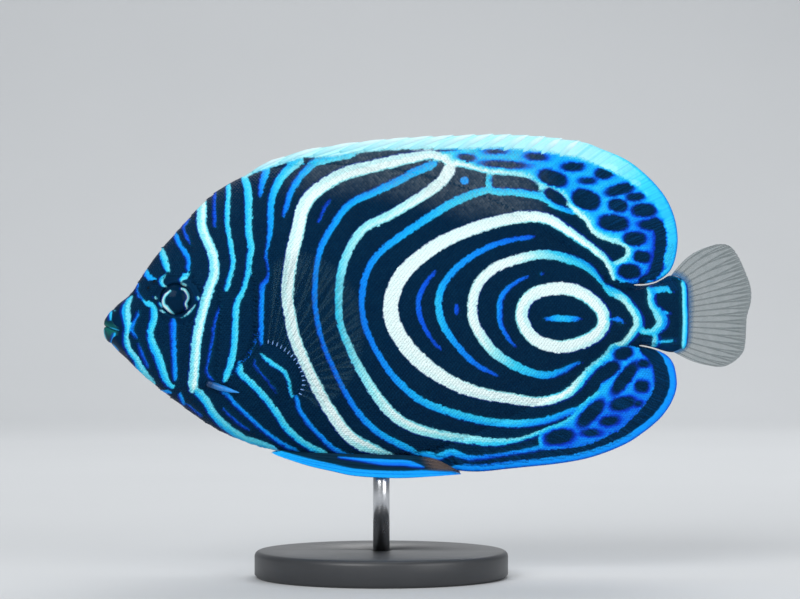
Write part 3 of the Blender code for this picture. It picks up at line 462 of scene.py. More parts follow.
# Dark cells of the two nets: middle, length, height and lean in degrees.
CELLS = [
    (18.7, 19.8, 4.6, 2.3, -18), (19.1, 17.0, 4.1, 1.8, -33), (23.7, 16.6, 4.5, 3.0, -20),
    (27.8, 13.1, 4.6, 2.5, -6), (28.5, 15.7, 3.0, 2.0, -10), (32.4, 15, 3.8, 2.1, 0),
    (28.8, 18.1, 4.7, 1.7, 14), (31.1, 17, 2.9, 1.3, 4), (26.5, 20.6, 3.1, 1.9, 12),
    (21.7, 21.5, 3.5, 1.4, 0), (23.9, 19.4, 2.6, 1.0, 0), (16.2, 23.0, 3.4, 1.1, -4),
    (31, 10.7, 3.4, 2.2, 0), (32.1, 8.0, 2.7, 1.9, -10), (30.2, 5.8, 3.5, 2.3, -5),
    (33.6, 12.8, 4.2, 1.6, 0), (2.8, 24.1, 3.0, 0.6, 0), (10.1, 23.8, 3.3, 0.75, 0),
    (5.8, 22.9, 2.8, 1.1, -8), (11.4, 21.85, 7.2, 1.15, -3), (12.9, 19.2, 7.1, 1.9, -7),
    (30.2, 3.75, 2.4, 0.8, -5), (29.3, -6.5, 3.0, 2.0, 15), (26.9, -9.2, 4.6, 2.1, 38),
    (29.5, -10.2, 6.2, 2.0, 52), (32.1, -11.4, 2.2, 1.9, 0), (29.2, -14, 4.0, 2.0, 15),
    (24.4, -15.5, 5.5, 2.2, 45), (27.2, -16.6, 3.0, 1.5, 10), (19.7, -19, 4.6, 2.3, 10),
    (24.4, -18.4, 3.0, 1.1, 0), (32.3, -8.0, 2.0, 1.3, 0), (31.5, -14.0, 1.4, 0.9, 0),
]
DORSAL_DARK_RIM = [(33.9, 13.0), (34.75, 12.2), (34.95, 10.1), (34.75, 8.2), (34.3, 6.4), (33.5, 4.8),
                   (32.4, 4.2)]
ANAL_DARK_RIM = [(32.6, -5.9), (33.6, -6.8), (34.4, -8.2), (34.8, -9.8), (34.8, -11.4), (34.3, -12.9)]
DORSAL_BAND = [(0.0, 0.3), (0.05, 0.7), (0.12, 1.1), (0.17, 1.6), (0.25, 1.6), (0.4, 2.0), (0.6, 2.4),
               (0.7, 2.8), (0.78, 2.3), (0.85, 1.8), (0.93, 1.6), (0.955, 0.9), (0.975, 0.5), (1.0, 0.25)]
ANAL_BAND_WIDTH = 1.05
DARK_RIM_WIDTHS = (1.9, 1.7)
NET_TONES = (0.68, 0.66)
LONE_SPOT = (5.5, 19.4, 1.2, 1.2, 0)
DORSAL_SLIT = [(30.8, 3.8), (32.7, 3.86), (34.1, 4.2), (35.2, 4.77), (36.15, 5.42), (37.0, 6.0)]
ANAL_SLIT = [(28.0, -6.0), (31.6, -5.35), (33.5, -5.63), (35.0, -6.13), (36.1, -6.6)]
FRINGE_MIDDLE = (-4.2, 1.6)
FRINGE_SHIFT = [(0, 0.0065), (25, 0.0105)]
SLIMMER = 0.04
SOFTEST = 1.2
WIDEST_HALF = 1.3
TONE_BLEND = 0.12
WOBBLE = 0.05
STROKE_PITCH = 0.12
MARGIN_PITCH = 0.25


def nearest(line, x, z):
    """Distance to an even line of points, offset from its nearest point and how far along that one is."""
    tree = point_tree(line)
    number = np.array([tree.find((a, b, 0))[1] for a, b in zip(x, z)], int)
    aside = np.stack([x, z], -1) - line[number]
    return np.hypot(*aside.T), aside, number / (len(line) - 1)


def eased(line, closed):
    """An even line with its small kinks smoothed, the more so the longer it is."""
    reach = min(8, int(len(line) * 0.012))
    bell = np.exp(-0.5 * (np.arange(-3 * reach, 3 * reach + 1) / max(reach, 1)) ** 2)
    span = 3 * reach
    before = line[-span:] if closed else 2 * line[0] - line[span:0:-1]
    after = line[:span] if closed else 2 * line[-1] - line[-2:-span - 2:-1]
    longer = np.vstack([before, line, after]) if reach else line
    return np.stack([np.convolve(longer[:, k], bell / bell.sum(), "valid") for k in (0, 1)], -1)


def spread(value, along):
    """A number that holds for a whole line, or changes between given shares of its length."""
    return straight(value, along) if isinstance(value, list) else value


def ripple(x, z, pitch, seed):
    """Smooth uneven waves between -1 and 1, of about the given pitch."""
    draw = np.random.default_rng(seed)
    total = np.zeros(np.shape(x))
    for _ in range(6):
        turn, phase, size = draw.uniform(0, math.pi), draw.uniform(0, 6.28), draw.uniform(0.7, 1.5)
        total = total + np.sin((x * math.cos(turn) + z * math.sin(turn)) * 6.28 / (pitch * size) + phase)
    return total / 3.5


def cell_depth(x, z, middle_x, middle_z, length, height, lean):
    """How deep a place lies inside a rounded dark cell, below zero outside it."""
    turn = math.radians(lean)
    across, up = x - middle_x, z - middle_z
    u = (across * math.cos(turn) + up * math.sin(turn)) / (length / 2)
    v = (up * math.cos(turn) - across * math.sin(turn)) / (height / 2)
    far = (np.abs(u) ** 2.4 + np.abs(v) ** 2.4) ** (1 / 2.4)
    return (1 - far) * height / 2


class Paint:
    """Depth inside the painted shapes, in millimetres, of given places, with the tone of the nearest one."""

    def __init__(self, x, z):
        self.x, self.z = x, z
        self.depth = np.full(x.shape, -SOFTEST)
        self.fringe = np.full(x.shape, -SOFTEST)
        self.tones, self.weights = np.full(x.shape, 1e-9), np.full(x.shape, 2e-9)

    def lay(self, rows, depth, fringe, tone, weight=1.0):
        """Add a shape at some of the places; its tone yields to others where its weight is less."""
        self.depth[rows] = np.maximum(self.depth[rows], depth)
        self.fringe[rows] = np.maximum(self.fringe[rows], fringe)
        weight = weight * np.exp(np.clip(depth, -SOFTEST, 0.6) / TONE_BLEND)
        self.tones[rows] += weight * tone
        self.weights[rows] += weight

    def stroke(self, tone, width, points, closed=False):
        """A line of a given width that narrows at its ends."""
        line = eased(smooth_line(points, STROKE_PITCH, closed), closed)
        reach = WIDEST_HALF + SOFTEST
        (x0, z0), (x1, z1) = line.min(0) - reach, line.max(0) + reach
        rows = np.nonzero((self.x > x0) & (self.x < x1) & (self.z > z0) & (self.z < z1))[0]
        if not len(rows):
            return
        far, aside, along = nearest(line, self.x[rows], self.z[rows])
        length = len(line) * STROKE_PITCH
        from_end = np.minimum(along, 1 - along) * length
        taper = 1 if closed else 0.7 + 0.3 * step(from_end, 0, min(0.7, length / 2))
        half = spread(width, along) / 2 * taper - SLIMMER
        outward = np.stack([self.x[rows], self.z[rows]], -1) - FRINGE_MIDDLE
        pull = straight(FRINGE_SHIFT, self.x[rows])
        shifted = np.hypot(*(aside - pull[:, None] * outward).T)
        self.lay(rows, half - far, half - shifted, spread(tone, along))

    def cut(self, depth):
        """Take a shape away again, leaving a soft blue edge round it."""
        self.depth = np.minimum(self.depth, -depth)
        self.fringe = np.minimum(self.fringe, 0.12 - depth)

    def tone(self):
        """Tone of each place: the mean of the shapes near it, by their weights."""
        return self.tones / self.weights


dorsal_line = smooth_line(DORSAL_MARGIN, MARGIN_PITCH)
anal_line = smooth_line(ANAL_MARGIN, MARGIN_PITCH)


def markings(x, z):
    """Painted fields at each place of the side view."""
    x, z = np.ravel(x), np.ravel(z)
    x = x + WOBBLE * ripple(x, z, 1.3, 1)
    z = z + WOBBLE * ripple(x, z, 1.1, 2)
    paint = Paint(x, z)
    # The blue grounds of the nets, then rings and bars, then what is taken away again.
    for net, ground in zip((DORSAL_NET, ANAL_NET), NET_TONES):
        edge = smooth_line(net, MARGIN_PITCH, True)
        far, _, _ = nearest(edge, x, z)
        depth = np.where(inside(x, z, edge), far, -far)
        tone = ground + 0.05 * ripple(x, z, 7, 3)
        if net is DORSAL_NET:
            tone = tone + 0.13 * step(x, 19, 7) - 0.26 * step(x, 32, 34) * step(z, 16, 9)
        else:
            tone = tone + 0.04 - 0.20 * step(np.hypot(x - 18, z + 1.2), 13, 19)
        rows = np.nonzero(depth > -SOFTEST)[0]
        shallow = np.minimum(depth[rows], 0.5)
        paint.lay(rows, shallow, shallow, tone[rows], 0.02)
    for tone, width, points in STRIPES:
        paint.stroke(tone, width, points)
    paint.stroke(WHITE, INNER_RING_WIDTH, INNER_RING, closed=True)
    for spot in CELLS:
        paint.cut(cell_depth(x, z, *spot))
    for rim_line, width in zip((DORSAL_DARK_RIM, ANAL_DARK_RIM), DARK_RIM_WIDTHS):
        far, _, _ = nearest(smooth_line(rim_line, STROKE_PITCH), x, z)
        paint.cut(width / 2 - far)
    paint.lay(slice(None), *[cell_depth(x, z, *LONE_SPOT)] * 2, 0.6)
    # Threads of the nets are darker at their edges.
    netted = np.clip(inside(x, z, np.array(DORSAL_NET)) * 1.0 + inside(x, z, np.array(ANAL_NET)), 0, 1)
    tone = paint.tone() - 0.20 * netted * step(paint.depth, 0.30, 0.0)
    # The pale band along the dorsal margin, ragged on its inner side.
    far, _, along = nearest(dorsal_line, x, z)
    teeth = np.abs(np.sin(along * 330)) - 0.5 + 0.5 * ripple(x, z, 1.6, 4)
    margin = step(along, 0.66, 0.84)
    band = through(DORSAL_BAND, along) - far + teeth * (0.10 + 0.16 * margin)
    band = np.where(z > straight(DORSAL_SLIT, x), np.minimum(band, 0.5), -SOFTEST)
    band_tone = 0.87 - 0.15 * margin - 0.16 * step(along, 0.58, 0.8) * step(far, 0.40, 0.05)
    over = step(band, -0.12, 0.30)
    depth = np.maximum(paint.depth, band)
    tone = tone + (band_tone - tone) * over
    # The blue edge of the anal fin.
    far, _, along_anal = nearest(anal_line, x, z)
    under = ANAL_BAND_WIDTH * step(along_anal, 0.0, 0.08) - far - 1.2 * step(x, 5.5, 2.0)
    under = np.where(z < straight(ANAL_SLIT, x), under, -SOFTEST)
    depth = np.maximum(depth, under)
    tone = tone + (0.56 - 0.12 * step(far, 0.4, 0.05) - tone) * step(under, -0.1, 0.2)
    return {"depth": depth, "fringe": np.maximum(np.maximum(paint.fringe, under), band - 0.1),
            "tone": tone, "veil": over * (1 - step(along, 0.60, 0.70))}


# Fin rays
# The upright fins are stiffened by spines in front and branched soft rays behind, which lean back and
# show as fine ridges and streaks from the fin's root to its margin.

SPINE_ROOTS = [-31.0, -28.0, -24.5, -20.5, -17.0, -13.5, -10.0, -6.3, -3.0, 0.0, 3.0, 5.6, 7.8, 10.0]
SOFT_TIPS = [(24.9, 24.7), (26.7, 23.9), (28.4, 23.2), (30.0, 22.4), (31.4, 21.5), (32.8, 20.3),
             (34.0, 19.0), (35.0, 17.8), (35.8, 16.6), (36.4, 15.3), (36.9, 14.0), (37.2, 12.8),
             (37.4, 11.6), (37.4, 10.3), (37.3, 9.0), (37.1, 7.8), (36.6, 6.6), (35.7, 5.5), (34.3, 4.5)]
SOFT_ROOTS = (11.4, 28.6)
SPINE_SINK = [0.0] * 9 + [-0.2, -0.4, -0.6, -0.9, -1.2]
SOFT_SINK = (-1.5, -3.0)
ANAL_TIPS = [(1.5, -22.9), (5.0, -24.1), (9.0, -24.1), (12.0, -23.8), (14.6, -23.5), (17.0, -23.3),
             (19.4, -23.0), (21.8, -22.7), (24.0, -22.2), (26.2, -21.5), (28.2, -20.7), (30.0, -19.9),
             (31.6, -18.9), (33.0, -17.9), (34.2, -16.8), (35.3, -15.7), (36.2, -14.4), (36.8, -13.1),
             (37.2, -11.7), (37.3, -10.3), (36.8, -8.8), (35.8, -7.2)]
ANAL_ROOTS = (-2.0, 28.6)
ANAL_RISE = 2.6
SPINY_MARGIN = DORSAL_MARGIN[:24]
RAY_STEPS = 60
FIN_APART = 40


def ray_net(roots, tips, across=8):
    """Places along the rays and between them, with their ray number and share of the way out."""
    roots, tips = np.array(roots, float), np.array(tips, float)
    number = np.linspace(0, len(tips) - 1, (len(tips) - 1) * across + 1)
    every = np.arange(len(tips))
    root = np.stack([np.interp(number, every, roots[:, k]) for k in (0, 1)], -1)
    tip = np.stack([np.interp(number, every, tips[:, k]) for k in (0, 1)], -1)
    out = np.linspace(0, 1.08, RAY_STEPS)[:, None, None]
    places = root + (tip - root) * out
    return places, np.broadcast_to(number, places.shape[:2]), np.broadcast_to(out[..., 0], places.shape[:2])


def on_curve(curve, xs, sink):
    """Points on a curve, each moved up or down by its own amount."""
    return [(x, float(through(curve, x)) + float(depth)) for x, depth in zip(xs, sink)]


dorsal_tips = [(x, float(straight(SPINY_MARGIN, x))) for x in SPINE_TIPS] + SOFT_TIPS
soft_sink = np.linspace(*SOFT_SINK, len(SOFT_TIPS))
soft_roots = on_curve(BACK, np.linspace(*SOFT_ROOTS, len(SOFT_TIPS)), soft_sink)
dorsal_roots = on_curve(BACK, SPINE_ROOTS, SPINE_SINK) + soft_roots
anal_roots = on_curve(BELLY, np.linspace(*ANAL_ROOTS, len(ANAL_TIPS)), [ANAL_RISE] * len(ANAL_TIPS))
RAY_NETS = (ray_net(dorsal_roots, dorsal_tips), ray_net(anal_roots, ANAL_TIPS))


def rays_at(x, z):
    """Ray number, counted on from fin to fin, and share of the way out, at each place of the side view."""
    x, z = np.ravel(x), np.ravel(z)
    number, out = np.zeros(x.shape), np.full(x.shape, -0.5)
    for fin, (places, numbers, outs) in enumerate(RAY_NETS):
        rows = np.nonzero((z > 3) if fin == 0 else (z < -4))[0]
        across = np.gradient(places, axis=1).reshape(-1, 2)
        along = np.gradient(places, axis=0).reshape(-1, 2)
        step_number = np.gradient(numbers, axis=1).ravel()
        step_out = np.gradient(outs, axis=0).ravel()
        _, aside, share = nearest(places.reshape(-1, 2), x[rows], z[rows])
        hit = np.round(share * (places[..., 0].size - 1)).astype(int)
        a, b = across[hit], along[hit]
        crossed = a[:, 0] * b[:, 1] - a[:, 1] * b[:, 0]
        crossed = np.where(np.abs(crossed) < 1e-6, 1e-6, crossed)
        u = (aside[:, 0] * b[:, 1] - aside[:, 1] * b[:, 0]) / crossed
        v = (a[:, 0] * aside[:, 1] - a[:, 1] * aside[:, 0]) / crossed
        number[rows] = numbers.ravel()[hit] + np.clip(u, -1, 1) * step_number[hit] + FIN_APART * fin
        out[rows] = outs.ravel()[hit] + np.clip(v, -1.5, 1.5) * step_out[hit]
    return number, out


# Coat finish
# Skin and scales of a living reef fish are wet, smooth and slightly glossy: a navy ground with rings that
# run from deep blue over cyan to white. The painted brightness of each point picks its colour.


class Socket:
    """A value inside a material. Sums and products of it add their Math nodes."""

    def __init__(self, finish, socket):
        self.finish, self.socket = finish, socket

    def maths(self, operation, first, second):
        return self.finish.node("ShaderNodeMath", {"operation": operation}, {0: first, 1: second})

    def __add__(self, other):
        return self.maths("ADD", self, other)

    def __radd__(self, other):
        return self.maths("ADD", other, self)

    def __sub__(self, other):
        return self.maths("SUBTRACT", self, other)

    def __rsub__(self, other):
        return self.maths("SUBTRACT", other, self)

    def __mul__(self, other):
        return self.maths("MULTIPLY", self, other)

    def __rmul__(self, other):
        return self.maths("MULTIPLY", other, self)

    def __pow__(self, other):
        return self.maths("POWER", self, other)

    def sine(self):
        return self.finish.node("ShaderNodeMath", {"operation": "SINE"}, {0: self})

    def clipped(self):
        return self.finish.node("ShaderNodeClamp", {}, {0: self})


class Finish:
    """A material that is put together node by node."""

    def __init__(self, name):
        self.made = bpy.data.materials.new(name)
        self.made.use_nodes = True
        self.tree = self.made.node_tree
        self.shader = self.tree.nodes["Principled BSDF"]

    def node(self, kind, settings, inputs, output=0):
        """Add a node: its settings are set first, then the values or links of its sockets."""
        made = self.tree.nodes.new(kind)
        for name, value in settings.items():
            if name == "stops":
                self.set_stops(made.color_ramp, value)
            else:
                setattr(made, name, value)
        for key, value in inputs.items():
            self.feed(made.inputs[key], value)
        return Socket(self, made.outputs[output])

    def feed(self, socket, value):
        if isinstance(value, Socket):
            self.tree.links.new(value.socket, socket)
        else:
            socket.default_value = value

    def set_stops(self, ramp, stops):
        while len(ramp.elements) < len(stops):
            ramp.elements.new(1.0)
        for element, (position, colour) in zip(ramp.elements, stops):
            element.position = position
            element.color = (*colour, 1)

    def field(self, name):
        """A number stored on the mesh's points."""
        return self.node("ShaderNodeAttribute", {"attribute_name": name}, {}, output="Fac")

    def noise(self, scale, detail=3.0):
        """Uneven cloud of about that many lumps in a metre, fixed to the object."""
        where = self.node("ShaderNodeTexCoord", {}, {}, output="Object")
        return self.node("ShaderNodeTexNoise", {}, {"Vector": where, "Scale": scale, "Detail": detail})

    def mix(self, share, first, second):
        return self.node("ShaderNodeMix", {"data_type": "RGBA"}, {0: share, 6: first, 7: second}, output=2)

    def joined(self, x, y, z=0.0):
        """Three numbers as one place."""
        return self.node("ShaderNodeCombineXYZ", {}, {0: x, 1: y, 2: z})

    def bump(self, height, strength, distance):
        return self.node("ShaderNodeBump", {}, {"Height": height, "Strength": strength, "Distance": distance})

    def surface(self, **values):
        """Set or link the sockets of the surface shader; spaces in their names are underscores here."""
        for name, value in values.items():
            self.feed(self.shader.inputs[name.replace("_", " ")], value)
        return self.made


# Colours of the painted tone, from deep blue lines to the white rings, as linear light.
RING_COLOURS = [(0.30, (0.004, 0.030, 0.50)), (0.42, (0.004, 0.095, 0.74)), (0.54, (0.005, 0.24, 0.88)),
                (0.66, (0.010, 0.42, 0.90)), (0.78, (0.045, 0.62, 0.87)), (0.90, (0.34, 0.83, 0.87)),
                (1.0, (0.78, 0.94, 0.93))]
BLUE_GLOSS = (0.10, 0.50, 1.0, 1)
WARM_FLOOR = [(3, 11.0), (9, 13.2), (20, 12.8)]


def ring_colour(finish, ground, soft=0.10):
    """Colour of painted fields over a ground: a deep blue fringe, then the ring itself in its tone."""
    depth, fringe = finish.field("depth"), finish.field("fringe")
    grain = finish.noise(2600.0, 2.0) - 0.5
    aside = depth - fringe
    glow = ((depth + aside + 0.24) * 2.2).clipped()
    colour = finish.mix(glow * 0.6, ground, (0.0015, 0.045, 0.085, 1))
    depth = depth + grain * 0.10
    blue = ((fringe + 0.14) * 3.0).clipped()
    colour = finish.mix(blue * 0.85, colour, (0.004, 0.022, 0.36, 1))
    tone = finish.field("tone")
    edge = ((0.34 - depth) * 4.0).clipped() * (aside * 5.0).clipped() * ((tone - 0.84) * 10.0).clipped()
    tone = tone + grain * 0.05 + aside * 0.34 - edge * 0.24
    painted = finish.node("ShaderNodeValToRGB", {"stops": RING_COLOURS}, {"Fac": tone.clipped()})
    return finish.mix((depth * (0.5 / soft) + 0.5).clipped(), colour, painted)


def clouded(name, lumps, detail, first, second):
    """A new finish, an uneven cloud in it, and the mix of two colours that the cloud makes."""
    finish = Finish(name)
    cloud = finish.noise(lumps, detail)
    return finish, cloud, finish.mix(cloud, first, second)


def coat_finish(name, scaly):
    """The finish that skin and scales share; scales also get painted shade towards their roots, painted sheen
    towards their tips along the back, and differ a little.
    """
    finish, cloud, ground = clouded(name, 420.0, 4.0, (0.0004, 0.0100, 0.034, 1), (0.0008, 0.0170, 0.050, 1))
    fine = finish.noise(5200.0, 2.0)
    warm = finish.field("warm") * (0.5 + cloud)
    ground = finish.mix(warm.clipped(), ground, (0.018, 0.038, 0.063, 1))
    colour = ring_colour(finish, ground)
    ray = finish.field("ray")
    streak = finish.node("ShaderNodeTexNoise", {"noise_dimensions": "2D"},
                         {"Vector": finish.joined(ray * 5.0, finish.field("out_fin") * 1.2), "Scale": 1.0,
                          "Detail": 2.0})
    on_fin, veil = finish.field("on_fin"), finish.field("veil")
    # Painted shadow: a thin darker teal line just in front of each spine of the pale band, where the spine's
    # shadow falls.
    wave = (ray * 3.1416 + 0.5).sine()
    spine_shadow = (1 - wave * wave * 3.2).clipped()
    colour = finish.mix(veil * (1 - spine_shadow) * streak * 0.9, colour, (0.52, 0.74, 0.79, 1))
    colour = finish.mix(veil * spine_shadow * 0.45, colour, (0.14, 0.46, 0.55, 1))
    hollow = on_fin * (0.56 - streak) * 2.2
    colour = finish.mix(hollow.clipped() * 0.40, colour, (0.004, 0.10, 0.34, 1))
    if scaly:
        out = finish.field("out")
        # Painted shade: each scale is darker towards its root, where it lies under the scales in front of it.
        dark = (1 - out) ** 2.0 * 0.08
        colour = finish.mix(dark.clipped(), colour, (0.0015, 0.020, 0.050, 1))
        sheen = finish.field("sheen")
        colour = finish.mix(sheen * 0.015, colour, (0.06, 0.25, 0.36, 1))
        # Painted sheen: along the back each scale is lighter towards its tip, where light glances off it.
        tip_sheen = finish.field("warm") * (out - 0.35) * (0.3 + sheen) * 0.7
        colour = finish.mix(tip_sheen.clipped(), colour, (0.20, 0.23, 0.26, 1))
    roughness = 0.40 + 0.16 * cloud
    normal = finish.bump(fine + 0.6 * cloud, 0.2, 0.00005)
    return finish.surface(Base_Color=colour, Roughness=roughness, Normal=normal,
                          Specular_IOR_Level=0.14, Specular_Tint=BLUE_GLOSS)


def body_warmth(x, z):
    """How much brown-grey lies over the navy, along the back below the spiny fin."""
    back = through(BACK, x)
    low = np.maximum(back - 6.0, straight(WARM_FLOOR, x))
    high = np.maximum(back - 0.5, low + 1.8)
    return 0.68 * step(z, low, high) * step(x, -24, -14) * step(x, 20, 11) * step(z, 26, 23)


SEEN_FROM = (-4.2, -450.0, 1.6)


def as_seen(x, z, out):
    """Where the photo shows places that stand out that far: a little wider of its middle."""
    nearer = SEEN_FROM[1] / (SEEN_FROM[1] + out)
    return SEEN_FROM[0] + (x - SEEN_FROM[0]) * nearer, SEEN_FROM[2] + (z - SEEN_FROM[2]) * nearer


def coat_fields(x, z, half):
    """All that the coat's finish reads, at each place of the side view that stands out that far."""
    fields = markings(*as_seen(x, z, half))
    ray, out = rays_at(x, z)
    fields["warm"] = body_warmth(x, z)
    fields["ray"], fields["out_fin"] = ray, out
    fields["on_fin"] = step(out, 0.35, 0.7) * (1 - fields["veil"])
    return fields


points, triangles = skin_net()
side_x, side_z = points.T
half = flank(side_x, side_z)
rim = half < 1e-9
far_row = np.where(rim, np.arange(len(points)), 0)
far_row[~rim] = len(points) + np.arange((~rim).sum())
near = np.stack([side_x, -half, side_z], -1)
far = np.stack([side_x, half, side_z], -1)[~rim]
faces = triangles + [tuple(int(far_row[k]) for k in reversed(face)) for face in triangles]
skin = mesh_piece("skin", np.vstack([near, far]), faces, coat_finish("skin coat", False))
coat = coat_fields(side_x, side_z, half)
paint_points(skin, **{name: np.concatenate([value, value[~rim]]) for name, value in coat.items()})
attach(skin, "root")
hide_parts("head", "trunk", "tail_peduncle", "dorsal_fin_spiny", "dorsal_fin_soft", "anal_fin")

# Scales
# Small overlapping plates with rounded rear edges cover the body, cheeks and fin bases, and point to the
# tail or out along the fins. Each is a thin closed plate, set on the skin and joined into six meshes.

SCALE_PITCH = [(-48.0, 0.36), (-38.0, 0.39), (-28.0, 0.45), (-15.0, 0.52), (10.0, 0.52), (25.0, 0.46),
               (39.0, 0.38)]
ROW_PITCH = 0.34
SCALE_PARTS = [(-0.30, 0.50), (0.35, 0.60), (0.80, 0.42), (1.05, 0.0), (0.80, -0.42), (0.35, -0.60),
               (-0.30, -0.50)]
SCALE_CENTRE = (0.42, 0.0)
SCALE_LONG, SCALE_WIDE = 1.45, 1.3
SCALE_THICK = 0.03
SCALE_LIFT = 0.048
ROOT_LIFT, MIDDLE_RISE, USUAL_SIZE = 0.01, 0.015, 0.6
BELLY_LIFT = [(-22, 0.45), (-8, 1.0)]
SLOPE_PACE = 0.12
SCALED_FROM, SCALED_TO = -45.4, 37.6
EYE_CLEAR = 3.7
PATCH = 0.003
SIDES = ((-1, "left"), (1, "right"))
COLUMN_PITCH, LEVEL_PITCH = 0.4, 0.2
columns_x = np.arange(-50, 41, COLUMN_PITCH)
rows_z = np.arange(-26.2, 27.4, LEVEL_PITCH)
grid_x, grid_z = np.meshgrid(columns_x, rows_z, indexing="ij")
grid_half = np.zeros(grid_x.shape)
grid_in = inside(grid_x, grid_z, OUTLINE)
grid_half[grid_in] = flank(grid_x[grid_in], grid_z[grid_in])
GIRTH = np.concatenate([np.zeros((len(columns_x), 1)),
                        np.cumsum(np.hypot(np.diff(grid_half, axis=1), LEVEL_PITCH), axis=1)], axis=1)
GIRTH = GIRTH - GIRTH[:, [int(np.argmin(np.abs(rows_z)))]]


def height_at(x, girth):
    """Height on the side view of places given on the unrolled skin."""
    i = np.clip((x - columns_x[0]) / COLUMN_PITCH, 0, len(columns_x) - 1.001)
    a = i.astype(int)
    low, high = np.zeros(x.shape), np.zeros(x.shape)
    for column in np.unique(a):
        here = a == column
        low[here] = np.interp(girth[here], GIRTH[column], rows_z)
        high[here] = np.interp(girth[here], GIRTH[column + 1], rows_z)
    return low + (high - low) * (i - a)


def lie(x, z):
    """Direction in which the scales of a place point: to the tail, and outwards along the fins."""
    above = step(z - through(BACK, x), -2.5, 2.5)
    below = step(through(BELLY, x) - z, -2.5, 2.5)
    up = np.minimum(np.arctan2(z - 2, np.maximum(x - 8, 0.1)), 0.55)
    down = np.minimum(np.arctan2(-4 - z, np.maximum(x - 8, 0.1)), 0.5)
    return above * up - below * down


def scale_places():
    """Roots of the scales on a staggered lattice of the unrolled skin, with the size of each."""
    draw = np.random.default_rng(5)
    columns = [-48.5]
    while columns[-1] < 39.5:
        columns.append(columns[-1] + float(through(SCALE_PITCH, columns[-1])))
    columns = np.array(columns)
    found = []
    for number, row in enumerate(np.arange(-34, 34, ROW_PITCH)):
        x = columns + np.gradient(columns) / 2 * (number % 2)
        found.append(np.stack([x, np.full_like(x, row)], -1))
    found = np.concatenate(found)
    x, girth = (found + draw.normal(0, 0.02, found.shape)).T
    z = height_at(x, girth)
    kept = inside(x, z, OUTLINE)
    x, girth, z = x[kept], girth[kept], z[kept]
    edge = edge_distance(x, z)
    far, _, along = nearest(dorsal_line, x, z)
    edge = np.where(z > 10, np.minimum(edge, far - through(DORSAL_BAND, along)), edge)
    far, _, _ = nearest(anal_line, x, z)
    edge = np.where(z < -5, np.minimum(edge, far - ANAL_BAND_WIDTH), edge)
    clear = np.where(x > 30, np.where(np.abs(z) < 5.2, 0.55, 0.95), 0.1)
    kept = (edge > clear) & (np.hypot(x - EYE[0], z - EYE[1]) > EYE_CLEAR)
    kept = kept & (x > SCALED_FROM) & (x < SCALED_TO)
    x, girth, z = x[kept], girth[kept], z[kept]
    return x, girth, z, through(SCALE_PITCH, x)


def height_slope(x, z, pace):
    """Slope of the skin up and down, from places a pace above and below that are still on it."""
    above, below = z + pace, z - pace
    edge_above = np.where(inside(x, above, OUTLINE), edge_distance(x, above), 0.0)
    edge_below = np.where(inside(x, below, OUTLINE), edge_distance(x, below), 0.0)
    return (flank(x, above, edge_above) - flank(x, below, edge_below)) / (2 * pace)


def scale_faces(count):
    """Faces of that many plates of seven rim points, a raised middle and seven points below the rim."""
    rim = np.arange(7)
    one = [(k, (k + 1) % 7, 7) for k in rim] + [((k + 1) % 7, k, 8 + k, 8 + (k + 1) % 7) for k in rim]
    one.append(tuple(14 - k for k in rim))
    return [tuple(int(k) + 15 * number for k in face) for number in range(count) for face in one]


